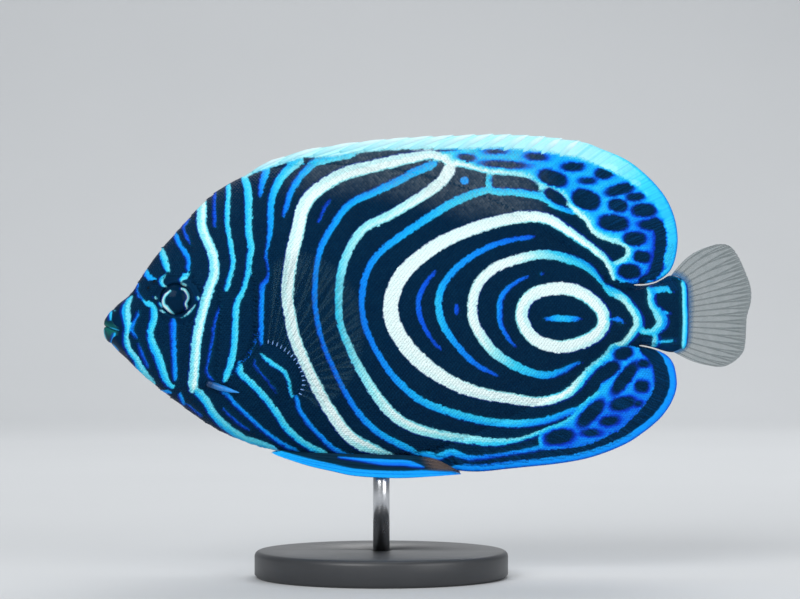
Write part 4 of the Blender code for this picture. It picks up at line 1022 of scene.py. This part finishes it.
def scale_coat(material):
    """All scales, joined into three meshes a side from head to tail."""
    x, girth, z, size = scale_places()
    draw = np.random.default_rng(21)
    count = len(x)
    size = size * draw.uniform(0.94, 1.08, count)
    turn = lie(x, z) + draw.normal(0, 0.05, count)
    parts = np.array(SCALE_PARTS + [SCALE_CENTRE])
    out, across = parts[:, 0] * SCALE_LONG, parts[:, 1] * SCALE_WIDE
    along_x = x[:, None] + size[:, None] * (np.cos(turn)[:, None] * out - np.sin(turn)[:, None] * across)
    along_v = girth[:, None] + size[:, None] * (np.sin(turn)[:, None] * out + np.cos(turn)[:, None] * across)
    flat_x = along_x.ravel()
    flat_z = height_at(flat_x, along_v.ravel())
    edge = np.where(inside(flat_x, flat_z, OUTLINE), edge_distance(flat_x, flat_z), 0.0)
    base = flank(flat_x, flat_z, edge)
    ahead, behind = flank(flat_x - SLOPE_PACE, flat_z, edge), flank(flat_x + SLOPE_PACE, flat_z, edge)
    slope_x = (behind - ahead) / (2 * SLOPE_PACE)
    slope_z = height_slope(flat_x, flat_z, SLOPE_PACE)
    lean = np.sqrt(1 + slope_x ** 2 + slope_z ** 2)
    share = np.tile((out + 0.4) / 1.9, count)
    lift = SCALE_LIFT * straight(BELLY_LIFT, flat_z)
    rise = ROOT_LIFT + lift * share + np.tile([0.0] * 7 + [MIDDLE_RISE], count)
    rise = rise * np.repeat(size, 8) / USUAL_SIZE
    shift = 0.04 * np.repeat(draw.normal(0, 1, (2, count)), 8, 1)
    fields = coat_fields(flat_x + shift[0], flat_z + shift[1], base)
    fields["out"], fields["sheen"] = share, np.repeat(draw.uniform(0, 1, count), 8)
    patch = np.stack([0.02 + (x + 50) / 92 * 0.96, 0.25 + girth / 72 * 0.48], -1)
    local = np.concatenate([parts, parts[:7]]) * PATCH * 0.5
    for side, label in SIDES:
        normal = np.stack([-slope_x / lean, side / lean, -slope_z / lean], -1)
        seat = np.stack([flat_x, side * base, flat_z], -1)
        top = (seat + normal * rise[:, None]).reshape(count, 8, 3)
        under = (seat + normal * (rise - SCALE_THICK)[:, None]).reshape(count, 8, 3)[:, :7]
        corners = np.concatenate([top, under], 1)
        order = np.argsort(x, kind="stable")
        for number, picked in enumerate(np.array_split(order, 3), 1):
            piece = mesh_piece(f"scales_{label}_{number}", corners[picked].reshape(-1, 3),
                               scale_faces(len(picked)), material)
            painted = {}
            for name, values in fields.items():
                values = values.reshape(count, 8)[picked]
                painted[name] = np.concatenate([values, values[:, :7]], 1)
            paint_points(piece, **painted)
            unrolled = piece.data.uv_layers.new(name="OFBake")
            uv = (patch[picked][:, None] + local).reshape(-1, 2) + [0, 0.5 if side > 0 else 0]
            loops = np.zeros(len(piece.data.loops), np.int32)
            piece.data.loops.foreach_get("vertex_index", loops)
            unrolled.data.foreach_set("uv", uv[loops].astype(np.float32).ravel())
            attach(piece, "root")


scale_coat(coat_finish("scale coat", True))

# Tail fin and chest fins
# Thin clear skin between fine rays that fork twice on their way out. The rays are raised on both faces,
# and the margin is a little ragged.


def even_points(points, share):
    """Places at given shares of the length of a smooth line."""
    line = smooth_line(points, 0.1)
    at = np.asarray(share) * (len(line) - 1)
    return np.stack([np.interp(at, np.arange(len(line)), line[:, k]) for k in (0, 1)], -1)


def forked_rays(ray, out, forks=(0.34, 0.66), parting=(0.24, 0.12), width=0.11):
    """Height between 0 and 1 of rays at whole ray numbers that split in two at each fork."""
    crest = np.zeros(ray.shape)
    first = parting[0] * step(out, forks[0], 1.0)
    second = parting[1] * step(out, forks[1], 1.05)
    whole = np.round(ray)
    for a in (-1, 1):
        for b in (-1, 1):
            for near in (-1, 0, 1):
                off = ray - (whole + near + a * first + b * second)
                crest = np.maximum(crest, np.exp(-(off / (width * (1 - 0.45 * out))) ** 2))
    return crest


def fin_grid(base, margin, rays, columns, rows, ragged, bows=((0, 0), (0, 0))):
    """Side-view grid of a fan of rays between a base line and a margin line; the outer rays may bow out."""
    share = np.linspace(0, 1, rays * columns + 1)
    ray = share * rays - 0.5
    out = np.linspace(0, 1, rows)
    root, tip = even_points(base, share), even_points(margin, share)
    notch = 1 - ragged * np.abs(np.sin(ray * 2 * math.pi)) ** 0.7 * (0.5 + 0.5 * np.sin(ray * 5.1) ** 2)
    reach = out[:, None] * (1 - (1 - notch[None, :]) * out[:, None] ** 4)
    grid = root + (tip - root) * reach[..., None]
    for bow, nearness in zip(bows, (1 - share / 0.25, 1 - (1 - share) / 0.25)):
        grid = grid + np.array(bow) * (np.clip(nearness, 0, 1) * np.sin(reach * math.pi))[..., None]
    return grid, np.broadcast_to(ray, reach.shape), np.broadcast_to(out[:, None], reach.shape)


def stood_off(grid, y):
    """Side-view places put at some distance from the fish's middle plane."""
    return np.stack([grid[..., 0], y, grid[..., 1]], -1)


def blade(name, near, far, material, **fields):
    """A thin closed sheet between two grids of points, with numbers painted on both faces."""
    rows, columns = near.shape[:2]
    points = np.concatenate([near.reshape(-1, 3), far.reshape(-1, 3)])
    index = np.arange(rows * columns).reshape(rows, columns)
    back = index + rows * columns
    faces = []
    for i in range(rows - 1):
        for j in range(columns - 1):
            faces.append((index[i, j], index[i, j + 1], index[i + 1, j + 1], index[i + 1, j]))
            faces.append((back[i, j], back[i + 1, j], back[i + 1, j + 1], back[i, j + 1]))
    for edge, behind in zip((index[0], index[-1], index[:, 0], index[:, -1]),
                            (back[0], back[-1], back[:, 0], back[:, -1])):
        faces += [(edge[k], edge[k + 1], behind[k + 1], behind[k]) for k in range(len(edge) - 1)]
    made = mesh_piece(name, points, [tuple(int(k) for k in face) for face in faces], material)
    paint_points(made, **{key: np.tile(np.ravel(values), 2) for key, values in fields.items()})
    return made


def clear_finish(name, skin_colour, ray_colour, skin_alpha, ray_alpha, root_colour, root=None):
    """Clear fin skin with denser rays, tinted evenly up to a share of its length or in painted dashes."""
    finish = Finish(name)
    ray, out = finish.field("ray"), finish.field("out")
    cloud = finish.noise(900.0, 3.0)
    joints = finish.noise(3800.0, 2.0)
    rays = (ray * (0.75 + 0.5 * joints)).clipped()
    colour = finish.mix(rays, finish.mix(cloud, skin_colour, [c * 1.35 for c in skin_colour[:3]] + [1]),
                        ray_colour)
    near_root = (1 - out * (1 / root)).clipped() * 0.75 if root else finish.field("root") * rays * 1.2
    colour = finish.mix(near_root, colour, root_colour)
    alpha = skin_alpha * (0.7 + 0.6 * cloud) + rays * (ray_alpha - skin_alpha) + near_root * 0.8
    alpha = alpha if root else alpha * ((1.06 - out) * 6.0).clipped()
    return finish.surface(Base_Color=colour, Alpha=alpha.clipped(), Roughness=0.32 + 0.2 * cloud,
                          Normal=finish.bump(joints + ray * 0.5, 0.25, 0.00005), Specular_IOR_Level=0.3)


TAIL_BASE = [(36.5, 5.25), (37.5, 5.0), (38.4, 4.2), (38.75, 3.0), (38.8, -0.6), (38.6, -4.4), (37.9, -5.7),
             (36.8, -6.25)]
TAIL_MARGIN = [(43.3, 9.9), (44.6, 9.9), (45.6, 9.4), (46.5, 8.2), (47.5, 6.1), (48.4, 3.6), (48.5, 1.4),
               (47.9, -0.9), (47.75, -3.0), (47.65, -4.8), (47.3, -6.3), (46.1, -7.6), (44.6, -8.4),
               (43.3, -8.5)]
grid, ray, out = fin_grid(TAIL_BASE, TAIL_MARGIN, 19, 16, 44, 0.012, ((-0.45, 0.75), (-0.1, -0.4)))
crest = forked_rays(ray, out)
thick = 0.07 + 0.14 * (1 - out) + 0.10 * crest * (1 - 0.5 * out)
tail_finish = clear_finish("clear tail fin", (0.085, 0.125, 0.135, 1), (0.11, 0.14, 0.145, 1), 0.35, 0.68,
                           (0.015, 0.16, 0.42, 1), 0.13)
tail_fin = blade("tail_fin", stood_off(grid, -thick), stood_off(grid, thick), tail_finish, ray=crest, out=out)
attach(tail_fin, "root")
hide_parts("caudal_fin")

CHEST_BASE = [(-24.0, -4.8), (-22.5, -5.3), (-20.8, -6.5), (-19.5, -8.0), (-18.8, -9.6), (-18.75, -11.1),
              (-19.3, -12.6)]
CHEST_MARGIN = [(-22.8, 7.2), (-20.0, 8.8), (-16.5, 8.4), (-12.5, 5.8), (-10.0, 1.5), (-9.2, -3.5),
                (-10.3, -8.5), (-13.0, -12.4), (-16.5, -14.4)]
CHEST_LIFT, CHEST_FLARE = 0.12, 3.4
chest_finish = clear_finish("clear chest fin", (0.02, 0.08, 0.12, 1), (0.022, 0.065, 0.09, 1), 0.014, 0.17,
                            (0.26, 0.48, 1.0, 1))
grid, ray, out = fin_grid(CHEST_BASE, CHEST_MARGIN, 16, 14, 40, 0.03)
crest = forked_rays(ray, out, forks=(0.25, 0.6))
seat_x, seat_z = grid[..., 0].ravel(), grid[..., 1].ravel()
lift = flank(seat_x, seat_z).reshape(out.shape) + CHEST_LIFT
lift = lift + 0.25 * step(out, 0, 0.1) + CHEST_FLARE * out ** 1.3
thick = 0.05 + 0.06 * (1 - out) + 0.07 * crest * (1 - 0.5 * out)
dash = step(np.hypot(*np.moveaxis(grid - grid[0], -1, 0)), 0.62, 0.28)
for side, label in SIDES:
    fin = blade(f"chest_fin_{label}", stood_off(grid, side * (lift + thick)),
                stood_off(grid, side * (lift - thick)), chest_finish, ray=crest, out=out, root=dash)
    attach(fin, "root")
    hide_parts(f"pectoral_fin_{label}")

# Belly fins
# Two folded fins under the breast: a stout spine and a few rays in dark skin, a bright blue lower edge
# and a tan tip.

BELLY_FIN_LOW = [(-23.4, -21.3), (-22.0, -21.9), (-18.0, -23.2), (-14.5, -24.0), (-10.8, -24.75),
                 (-4.8, -25.05), (0.5, -24.8), (4.9, -24.45)]
BELLY_FIN_HIGH = [(-21.5, -20.9), (-18.5, -21.2), (-14.0, -21.4), (-9.0, -21.5), (-4.0, -21.6),
                  (-0.5, -21.9), (1.6, -22.4), (4.6, -24.0)]
share = np.linspace(0, 1, 73)[None, :]
length = np.linspace(0, 1, 90)[:, None]
low, high = even_points(BELLY_FIN_LOW, length[:, 0]), even_points(BELLY_FIN_HIGH, length[:, 0])
grid = low[:, None] + (high - low)[:, None] * share[..., None]
ray = share * 6 - 0.2 + 0 * length
crest = forked_rays(ray, 0.2 + 0.6 * length + 0 * ray, forks=(0.45, 0.7))
seat_x, seat_z = grid[..., 0].ravel(), grid[..., 1].ravel()
body = np.where(inside(seat_x, seat_z, OUTLINE), flank(seat_x, seat_z), 0).reshape(ray.shape)
middle = np.maximum(1.5 + 1.2 * length ** 0.7 + 0.25 * np.sin(share * math.pi) * (1 - length), body + 0.35)
stout = np.exp(-(ray / 0.35) ** 2) * (1 - 0.6 * length)
thick = 0.12 + 0.30 * (1 - length) ** 3 + 0.10 * crest + 0.20 * stout
paint = Paint(seat_x, seat_z)
paint.stroke([(0, 0.62), (0.2, 0.55), (1, 0.54)], [(0, 1.7), (0.2, 2.3), (0.8, 2.2), (0.95, 1.2), (1, 0.5)],
             BELLY_FIN_LOW)
paint.stroke([(0, 0.46), (0.4, 0.54), (0.9, 0.52), (1, 0.44)],
             [(0, 0.3), (0.25, 0.5), (0.5, 0.9), (0.85, 0.9), (1, 0.3)],
             [(-13.4, -21.9), (-10.8, -22.2), (-6.6, -22.65), (-3.6, -22.75), (-2.2, -23.0), (-0.6, -23.4)])
tan = step(length + 0.08 * share, 0.83, 0.92) * step(share, 0.15, 0.4) + 0 * ray
finish, cloud, ground = clouded("belly fin", 900.0, 3.0, (0.0010, 0.012, 0.030, 1), (0.0018, 0.020, 0.044, 1))
ground = finish.mix(finish.field("ray") * 0.35, ground, (0.006, 0.045, 0.080, 1))
ground = finish.mix(finish.field("tan") * (0.5 + 0.5 * finish.field("ray")), ground, (0.19, 0.13, 0.10, 1))
belly_finish = finish.surface(Base_Color=ring_colour(finish, ground), Roughness=0.36 + 0.2 * cloud,
                              Alpha=1 - finish.field("tan") * 0.35, Specular_IOR_Level=0.14,
                              Specular_Tint=(0.25, 0.6, 1.0, 1),
                              Normal=finish.bump(finish.noise(5200.0), 0.2, 0.00005))
for side, label in SIDES:
    fin = blade(f"belly_fin_{label}", stood_off(grid, side * (middle + thick)),
                stood_off(grid, side * (middle - thick)), belly_finish, ray=crest, tan=tan,
                depth=paint.depth, fringe=paint.fringe, tone=paint.tone())
    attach(fin, "root")
    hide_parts(f"pelvic_fin_{label}")

# Spines of the dorsal fin
# Stout bony spines that lie back in the front of the dorsal fin. Their pale sides stand a little proud of
# the fin's skin, and their tips make the margin saw-edged.

SPINE_SHOWN = 2.4
SPINE_LONGEST = 7.0


def tube_faces(rings, sides):
    """Faces of a run of rings of points, closed at both ends."""
    faces = [tuple(range(sides)), tuple(range((rings - 1) * sides, rings * sides))]
    for i in range(rings - 1):
        for k in range(sides):
            a, b = i * sides + k, i * sides + (k + 1) % sides
            faces.append((a, b, b + sides, a + sides))
    return faces


def rod(points, radii, sides):
    """Points and faces of a round tapered rod along a path, closed at both ends."""
    path = np.asarray(points, float)
    run = np.gradient(path, axis=0)
    run /= np.linalg.norm(run, axis=1)[:, None]
    aside = np.cross(run, [0.0, 1.0, 0.0])
    aside /= np.linalg.norm(aside, axis=1)[:, None]
    up = np.cross(run, aside)
    turn = np.linspace(0, 2 * math.pi, sides, endpoint=False)
    radii = np.asarray(radii, float)[:, None, None]
    ring = (path[:, None] + radii * (np.cos(turn)[None, :, None] * aside[:, None]
                                     + np.sin(turn)[None, :, None] * up[:, None]))
    return ring.reshape(-1, 3), tube_faces(len(path), sides)


def joined_piece(name, parts, material):
    """One mesh from several sets of points and faces."""
    points, faces = [], []
    for part_points, part_faces in parts:
        first = sum(len(p) for p in points)
        points.append(part_points)
        faces += [tuple(int(k) + first for k in face) for face in part_faces]
    return mesh_piece(name, np.concatenate(points), faces, material)


finish, cloud, colour = clouded("spines", 1100.0, 3.0, (0.48, 0.74, 0.79, 1), (0.62, 0.81, 0.84, 1))
out = finish.field("out")
colour = finish.mix((1 - out * 1.5).clipped(), colour, (0.22, 0.66, 0.76, 1))
spine_finish = finish.surface(Base_Color=colour, Roughness=0.42 + 0.15 * cloud, Specular_IOR_Level=0.3,
                              Normal=finish.bump(finish.noise(6000.0), 0.15, 0.00004))
parts, outs = [], []
t = np.linspace(0, 1, 12)
bend = 0.2 * np.sin(t * math.pi)
for (tip_x, tip_z), (root_x, root_z) in zip(dorsal_tips[:len(SPINE_TIPS)], dorsal_roots):
    tip_z = tip_z + 0.12 * float(step(tip_x, -4, 4))
    tip = np.array([tip_x, tip_z])
    run = tip - [root_x, root_z]
    lean = abs(run[1]) / np.hypot(*run)
    start = tip - run / np.hypot(*run) * min(SPINE_LONGEST, SPINE_SHOWN / lean)
    path = start + (tip - start) * t[:, None]
    path = np.stack([path[:, 0], 0 * t, path[:, 1] + bend], -1)
    path[:, 2] = np.minimum(path[:, 2], straight(SPINY_MARGIN, path[:, 0]) + 0.18)
    width = flank(path[:, 0], path[:, 2])
    proud = 0.20 * np.sin(np.clip(t, 0.02, 0.95) * math.pi) ** 0.5
    radii = np.clip(width + proud, 0.10, 0.85) * (1 - 0.5 * t ** 6)
    parts.append(rod(path, radii, 12))
    outs.append(np.repeat(t, 12))
spines = joined_piece("dorsal_spines", parts, spine_finish)
paint_points(spines, out=np.concatenate(outs))
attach(spines, "root")

# Eyes
# A dark glossy ball in a soft socket. A broken white ring round the wide pupil is all that shows of the
# iris.

EYE_RADIUS = 2.35
EYE_DEPTH = 1.5
EYE_PROUD = 0.75
IRIS = [(1.0, [(0, 0.42), (0.35, 0.40), (0.65, 0.62), (1, 0.34)],
         [(-38.65, 2.9), (-39.35, 2.25), (-39.68, 1.55), (-39.62, 0.85), (-39.1, 0.3), (-38.7, -0.15),
          (-38.1, -0.6)]),
        (1.0, [(0, 0.5), (0.4, 0.42), (0.65, 0.34), (1, 0.5)],
         [(-36.9, 3.2), (-36.4, 3.0), (-36.0, 2.3), (-35.95, 1.75), (-36.3, 1.0), (-36.1, 0.4),
          (-36.15, 0.0)])]
finish, cloud, ground = clouded("eye", 1500.0, 4.0, (0.0003, 0.008, 0.024, 1), (0.0008, 0.018, 0.050, 1))
eye_finish = finish.surface(Base_Color=ring_colour(finish, ground), Roughness=0.30 + 0.12 * cloud,
                            Coat_Weight=0.05, Coat_Roughness=0.06, Coat_Tint=(0.5, 0.8, 1.0, 1),
                            Specular_IOR_Level=0.06, Specular_Tint=BLUE_GLOSS)
eye_half, _ = half_width(np.array([EYE[0]]), np.array([EYE[1]]))
eye_y = float(eye_half[0]) + EYE_PROUD - EYE_DEPTH
turn, fall = np.meshgrid(np.linspace(0, 2 * math.pi, 97)[:-1], np.linspace(0, math.pi, 56)[1:-1])
eye_x = EYE[0] + EYE_RADIUS * np.cos(turn) * np.sin(fall)
eye_z = EYE[1] + EYE_RADIUS * np.sin(turn) * np.sin(fall)
eye_out = EYE_DEPTH * np.cos(fall)
seen_x, seen_z = as_seen(eye_x.ravel(), eye_z.ravel(), (eye_y + eye_out).ravel())
paint = Paint(seen_x, seen_z)
for tone, width, points in IRIS:
    paint.stroke(tone, width, points)
pole = [-SOFTEST, -SOFTEST]
rows, columns = turn.shape
last = (rows - 1) * columns
# The sides of a tube without its two ends, and a fan of triangles round each pole in their place.
faces = tube_faces(rows, columns)[2:]
for j in range(columns):
    faces.append((rows * columns, (j + 1) % columns, j))
    faces.append((rows * columns + 1, last + j, last + (j + 1) % columns))
for side, label in SIDES:
    ball = np.stack([eye_x, side * (eye_y + eye_out), eye_z], -1).reshape(-1, 3)
    poles = [(EYE[0], side * (eye_y + EYE_DEPTH), EYE[1]), (EYE[0], side * (eye_y - EYE_DEPTH), EYE[1])]
    eye = mesh_piece(f"eye_ball_{label}", np.vstack([ball, poles]), faces, eye_finish)
    paint_points(eye, depth=np.append(paint.depth, pole), fringe=np.append(paint.fringe, pole),
                 tone=np.append(paint.tone(), [0, 0]))
    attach(eye, "root")
    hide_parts(f"eye_{label}")

# Lips and nostrils
# Two soft lips close over the small mouth: low pads that follow the snout, teal along the mouth line, each
# with a blue mark. Two small nostrils sit ahead of each eye.

MOUTH_AXIS = -46.1
NOSTRILS = ((-41.6, 3.3), (-40.7, 4.2))
NOSTRIL_RADIUS, PIT_RADIUS = 0.27, 0.20
MOUTH_LINE = [(-48.8, -2.42), (-46.1, -3.15)]
UPPER_LIP, LOWER_LIP = [(-1.15, 1.28), (-2.78, 0.34)], [(-3.72, 1.27), (-3.46, 0.32)]
LIP_MARKS = [([(0, 0.5), (0.5, 0.66), (1, 0.6)], 0.5, [(-47.5, 0.3), (-47.62, -0.5), (-47.62, -1.4)]),
             ([(0, 0.6), (1, 0.54)], 0.55, [(-47.0, -3.55), (-47.2, -4.3), (-47.55, -4.95)]),
             (0.74, 0.26, [(-48.65, -2.9), (-48.55, -3.8), (-48.2, -4.6)]),
             (0.62, 0.18, [(-47.7, -2.6), (-47.0, -2.82), (-46.35, -3.04)])]


def snout_reach(turn, z):
    """Distance from the mouth's upright axis to the skin, at angles off straight ahead and heights."""
    low, high = np.zeros(turn.shape), np.full(turn.shape, 4.0)
    for _ in range(18):
        middle = (low + high) / 2
        x, y = MOUTH_AXIS - middle * np.cos(turn), middle * np.abs(np.sin(turn))
        width = flank(x.ravel(), z.ravel()).reshape(x.shape)
        out = ~inside(x, z, OUTLINE) | (y > width)
        low, high = np.where(out, low, middle), np.where(out, middle, high)
    return low


finish = Finish("lips")
cloud = finish.noise(1400.0, 4.0)
teal = finish.field("teal") * (0.7 + 0.6 * cloud)
ground = finish.mix(teal.clipped(), (0.0006, 0.012, 0.038, 1), (0.006, 0.120, 0.105, 1))
lip_finish = finish.surface(Base_Color=ring_colour(finish, ground), Roughness=0.34 + 0.15 * cloud,
                            Normal=finish.bump(finish.noise(4200.0, 3.0), 0.3, 0.00008), Coat_Weight=0.1,
                            Specular_IOR_Level=0.15, Specular_Tint=(0.2, 0.6, 1.0, 1))
parts = []
turn = np.linspace(-90, 90, 65)[:, None] * math.pi / 180
rise = np.linspace(-1, 1, 25)[None, :]
corner = np.sin(np.abs(turn)) ** 2.2
for (front_z, front_half), (corner_z, corner_half) in (UPPER_LIP, LOWER_LIP):
    z = front_z + (corner_z - front_z) * corner + rise * (front_half + (corner_half - front_half) * corner)
    angle = turn + 0 * z
    reach = snout_reach(angle, z)
    proud = 0.30 - 0.24 * corner
    outer = reach - 0.10 + (0.10 + proud) * np.sqrt(np.clip(1 - np.abs(rise) ** 5, 0, 1))
    rings = [np.stack([MOUTH_AXIS - far * np.cos(angle), far * np.sin(angle), z], -1)
             for far in (outer, np.maximum(reach - 0.6, 0.1))]
    parts.append((np.concatenate([rings[0], rings[1][:, ::-1]], 1).reshape(-1, 3), tube_faces(len(turn), 50)))
lips = joined_piece("lips", parts, lip_finish)
marked = np.concatenate([part[0] for part in parts])
paint = Paint(*as_seen(marked[:, 0], marked[:, 2], np.abs(marked[:, 1])))
for tone, width, points in LIP_MARKS:
    paint.stroke(tone, width, points)
from_line = marked[:, 2] - straight(MOUTH_LINE, marked[:, 0])
teal = np.exp(-(from_line / np.where(from_line > 0, 0.8, 1.2)) ** 2) * step(marked[:, 0], -46.15, -46.8)
paint_points(lips, depth=paint.depth, fringe=paint.fringe, tone=paint.tone(), teal=teal)
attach(lips, "root")

finish, cloud, shade = clouded("nostrils", 1800.0, 3.0, (0.0008, 0.009, 0.026, 1), (0.0018, 0.018, 0.046, 1))
nostril_finish = finish.surface(Base_Color=shade, Roughness=0.35 + 0.2 * cloud, Specular_IOR_Level=0.1,
                                Specular_Tint=BLUE_GLOSS)
# The nostril pits are near-black discs on the skin: painted shade in place of the hollow inside each nostril.
finish, cloud, shade = clouded("nostril pit shade", 1800.0, 3.0,
                                (0.0006, 0.001, 0.002, 1), (0.001, 0.002, 0.005, 1))
pit_shade_finish = finish.surface(Base_Color=shade, Roughness=0.7 + 0.2 * cloud, Specular_IOR_Level=0.2)
rings, pits = [], []
turn = np.linspace(0, 2 * math.pi, 25)
for x, z in NOSTRILS:
    ring_x, ring_z = x + NOSTRIL_RADIUS * np.cos(turn), z + NOSTRIL_RADIUS * np.sin(turn)
    pit_x, pit_z = x + PIT_RADIUS * np.cos(turn[:-1]), z + PIT_RADIUS * np.sin(turn[:-1])
    y = float(flank(np.array([x]), np.array([z]))[0])
    for side, _ in SIDES:
        path = np.stack([ring_x, side * (flank(ring_x, ring_z) + 0.02), ring_z], -1)
        rings.append(rod(path, np.full(25, 0.11), 10))
        disc = [np.stack([pit_x, 0 * pit_x + side * (y + out), pit_z], -1) for out in (0.04, -0.3)]
        pits.append((np.concatenate(disc), tube_faces(2, 24)))
nostrils = joined_piece("nostril_rings", rings, nostril_finish)
pit_shade_discs = joined_piece("nostril_pit_shade", pits, pit_shade_finish)

# Cheek spines
# A short bony spine points back from the lower corner of each cheek, as on every angelfish. It tapers from
# a root under the skin to a sharp tip just clear of it.

CHEEK_SPINE = [(-32.6, -10.8), (-31.0, -11.4), (-30.2, -11.6), (-29.2, -11.9), (-28.0, -12.2)]
CHEEK_SPINE_LIFT = [(0, -0.25), (0.35, 0.35), (0.52, 0.65), (0.74, 0.65), (1, 0.55)]
CHEEK_SPINE_RADIUS = [(0, 0.55), (0.35, 0.5), (0.52, 0.42), (0.74, 0.3), (1, 0.06)]
finish, cloud, shade = clouded("cheek spine", 1600.0, 3.0, (0.014, 0.17, 0.62, 1), (0.03, 0.32, 0.80, 1))
shade = finish.mix((1 - finish.field("out") * 1.6).clipped(), shade, (0.003, 0.02, 0.07, 1))
cheek_finish = finish.surface(Base_Color=shade, Roughness=0.32 + 0.15 * cloud, Specular_IOR_Level=0.35)
path = smooth_line(CHEEK_SPINE, 0.2)
t = np.linspace(0, 1, len(path))
spine_lift = straight(CHEEK_SPINE_LIFT, t)
spine_radii = straight(CHEEK_SPINE_RADIUS, t)
parts = []
for side, _ in SIDES:
    y = side * (flank(path[:, 0], path[:, 1]) + spine_lift)
    parts.append(rod(np.stack([path[:, 0], y, path[:, 1]], -1), spine_radii, 16))
cheek_spines = joined_piece("cheek_spines", parts, cheek_finish)
paint_points(cheek_spines, out=np.tile(np.repeat(t, 16), 2))
for piece in (nostrils, pit_shade_discs, cheek_spines):
    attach(piece, "root")

# Stand
# A plain turned disc of dark painted steel carries one polished steel rod, pressed into its middle. The
# rod ends just under the belly, between the pelvic fins.

BASE_RADIUS = 19.0
BASE_THICK = 4.0
BASE_BEVEL = 0.8
ROD_RADIUS = 1.25
ROD_SUNK = 0.6
ROD_GAP = 0.3
SMALL_BEVEL = 0.15


def turned(name, profile, sides, material):
    """A solid of revolution about the stand's axis, from pairs of radius and height."""
    turn = np.linspace(0, 2 * math.pi, sides, endpoint=False)
    points = [(BASE_X + r * math.cos(a), r * math.sin(a), h - AXIS_HEIGHT) for r, h in profile for a in turn]
    return mesh_piece(name, points, tube_faces(len(profile), sides), material)


def painted_steel():
    """Dark paint with a fine grain."""
    finish, cloud, colour = clouded("painted steel", 260.0, 4.0,
                                     (0.030, 0.032, 0.036, 1), (0.042, 0.044, 0.048, 1))
    grain = finish.noise(5000.0, 2.0)
    return finish.surface(Base_Color=colour, Roughness=0.36 + 0.12 * cloud,
                          Normal=finish.bump(grain, 0.12, 0.00005))


def polished_steel():
    """Bright steel, polished unevenly by hand."""
    finish, cloud, colour = clouded("polished steel", 700.0, 4.0,
                                     (0.55, 0.56, 0.58, 1), (0.66, 0.67, 0.69, 1))
    return finish.surface(Base_Color=colour, Metallic=1.0, Roughness=0.18 + 0.14 * cloud)


bevel_r, bevel_h = BASE_RADIUS - BASE_BEVEL, BASE_THICK - BASE_BEVEL
bevel = [(bevel_r + BASE_BEVEL * math.sin(a), bevel_h + BASE_BEVEL * math.cos(a))
         for a in np.linspace(math.pi / 2, 0, 7)]
foot = [(BASE_RADIUS - 0.5, 0.0), (BASE_RADIUS, 0.5)]
base = turned("base", foot + bevel + [(ROD_RADIUS + 0.35, BASE_THICK), (ROD_RADIUS + 0.3, BASE_THICK - 0.5)],
              128, painted_steel())
rod_top = AXIS_HEIGHT + float(through(BELLY, BASE_X)) - ROD_GAP
rod_profile = [(ROD_RADIUS, BASE_THICK - ROD_SUNK), (ROD_RADIUS, rod_top - SMALL_BEVEL),
               (ROD_RADIUS - SMALL_BEVEL, rod_top)]
post = turned("rod", rod_profile, 48, polished_steel())
for piece, node in ((base, "stand_base"), (post, "stand_rod")):
    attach(piece, "root")
    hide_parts(node)

# Studio
# A pale sweep of paper, soft light on the fish from above and from both sides and one on the wall behind
# it, and a camera level with the fish at its left side, as in the photo.

VIEW_WIDTH = 120.0
SENSOR = 36.0
FLOOR_FRONT, FLOOR_BACK = -1200, 560
SWEEP_RADIUS = 260
WALL_TOP = 1600
PAPER_HALF = 2000

curve = [(FLOOR_BACK + SWEEP_RADIUS * math.sin(a), SWEEP_RADIUS - SWEEP_RADIUS * math.cos(a))
         for a in np.linspace(0, math.pi / 2, 24)[1:]]
sweep = [(FLOOR_FRONT, 0), (FLOOR_BACK, 0)] + curve + [(FLOOR_BACK + SWEEP_RADIUS, WALL_TOP)]
paper, cloud, white = clouded("paper", 9.0, 3.0, (0.56, 0.575, 0.59, 1), (0.60, 0.615, 0.63, 1))
paper_white = paper.surface(Base_Color=white, Roughness=0.85 + 0.1 * cloud)
floor_points = [(x, y, z - AXIS_HEIGHT) for y, z in sweep for x in (-PAPER_HALF, PAPER_HALF)]
floor_faces = [(2 * k, 2 * k + 1, 2 * k + 3, 2 * k + 2) for k in range(len(sweep) - 1)]
floor = mesh_piece("floor", floor_points, floor_faces, paper_white)

camera = bpy.data.objects.new("camera", bpy.data.cameras.new("camera"))
bpy.context.scene.collection.objects.link(camera)
camera.data.sensor_width = SENSOR
camera.data.lens = SENSOR * -SEEN_FROM[1] / VIEW_WIDTH
camera.location = place(SEEN_FROM).tolist()
camera.rotation_euler = (math.radians(90), 0, 0)
camera.data.clip_start = 0.01
bpy.context.scene.camera = camera


def soft_light(name, where, aim, size, power):
    """A square soft box that faces its aim."""
    lamp = bpy.data.lights.new(name, "AREA")
    lamp.shape, lamp.size, lamp.energy = "SQUARE", size, power
    made = bpy.data.objects.new(name, lamp)
    made.location = where
    made.rotation_euler = (Vector(aim) - Vector(where)).to_track_quat("-Z", "Y").to_euler()
    bpy.context.scene.collection.objects.link(made)
    return made


middle = (0.0, 0.0, 0.04)
soft_light("key", (-0.30, -0.62, 0.42), middle, 0.45, 4.35)
soft_light("fill", (0.52, -0.50, 0.20), middle, 0.50, 2.65)
soft_light("back", (0.10, 0.45, 0.55), middle, 0.40, 1.8)
soft_light("wall", (0.0, 0.25, 0.90), (0.0, 0.80, 0.15), 0.60, 2.6)
world = bpy.data.worlds.new("studio")
world.use_nodes = True
world.node_tree.nodes["Background"].inputs["Color"].default_value = (0.80, 0.84, 0.88, 1)
world.node_tree.nodes["Background"].inputs["Strength"].default_value = 0.31
bpy.context.scene.world = world
bpy.context.scene.view_settings.view_transform = "Standard"
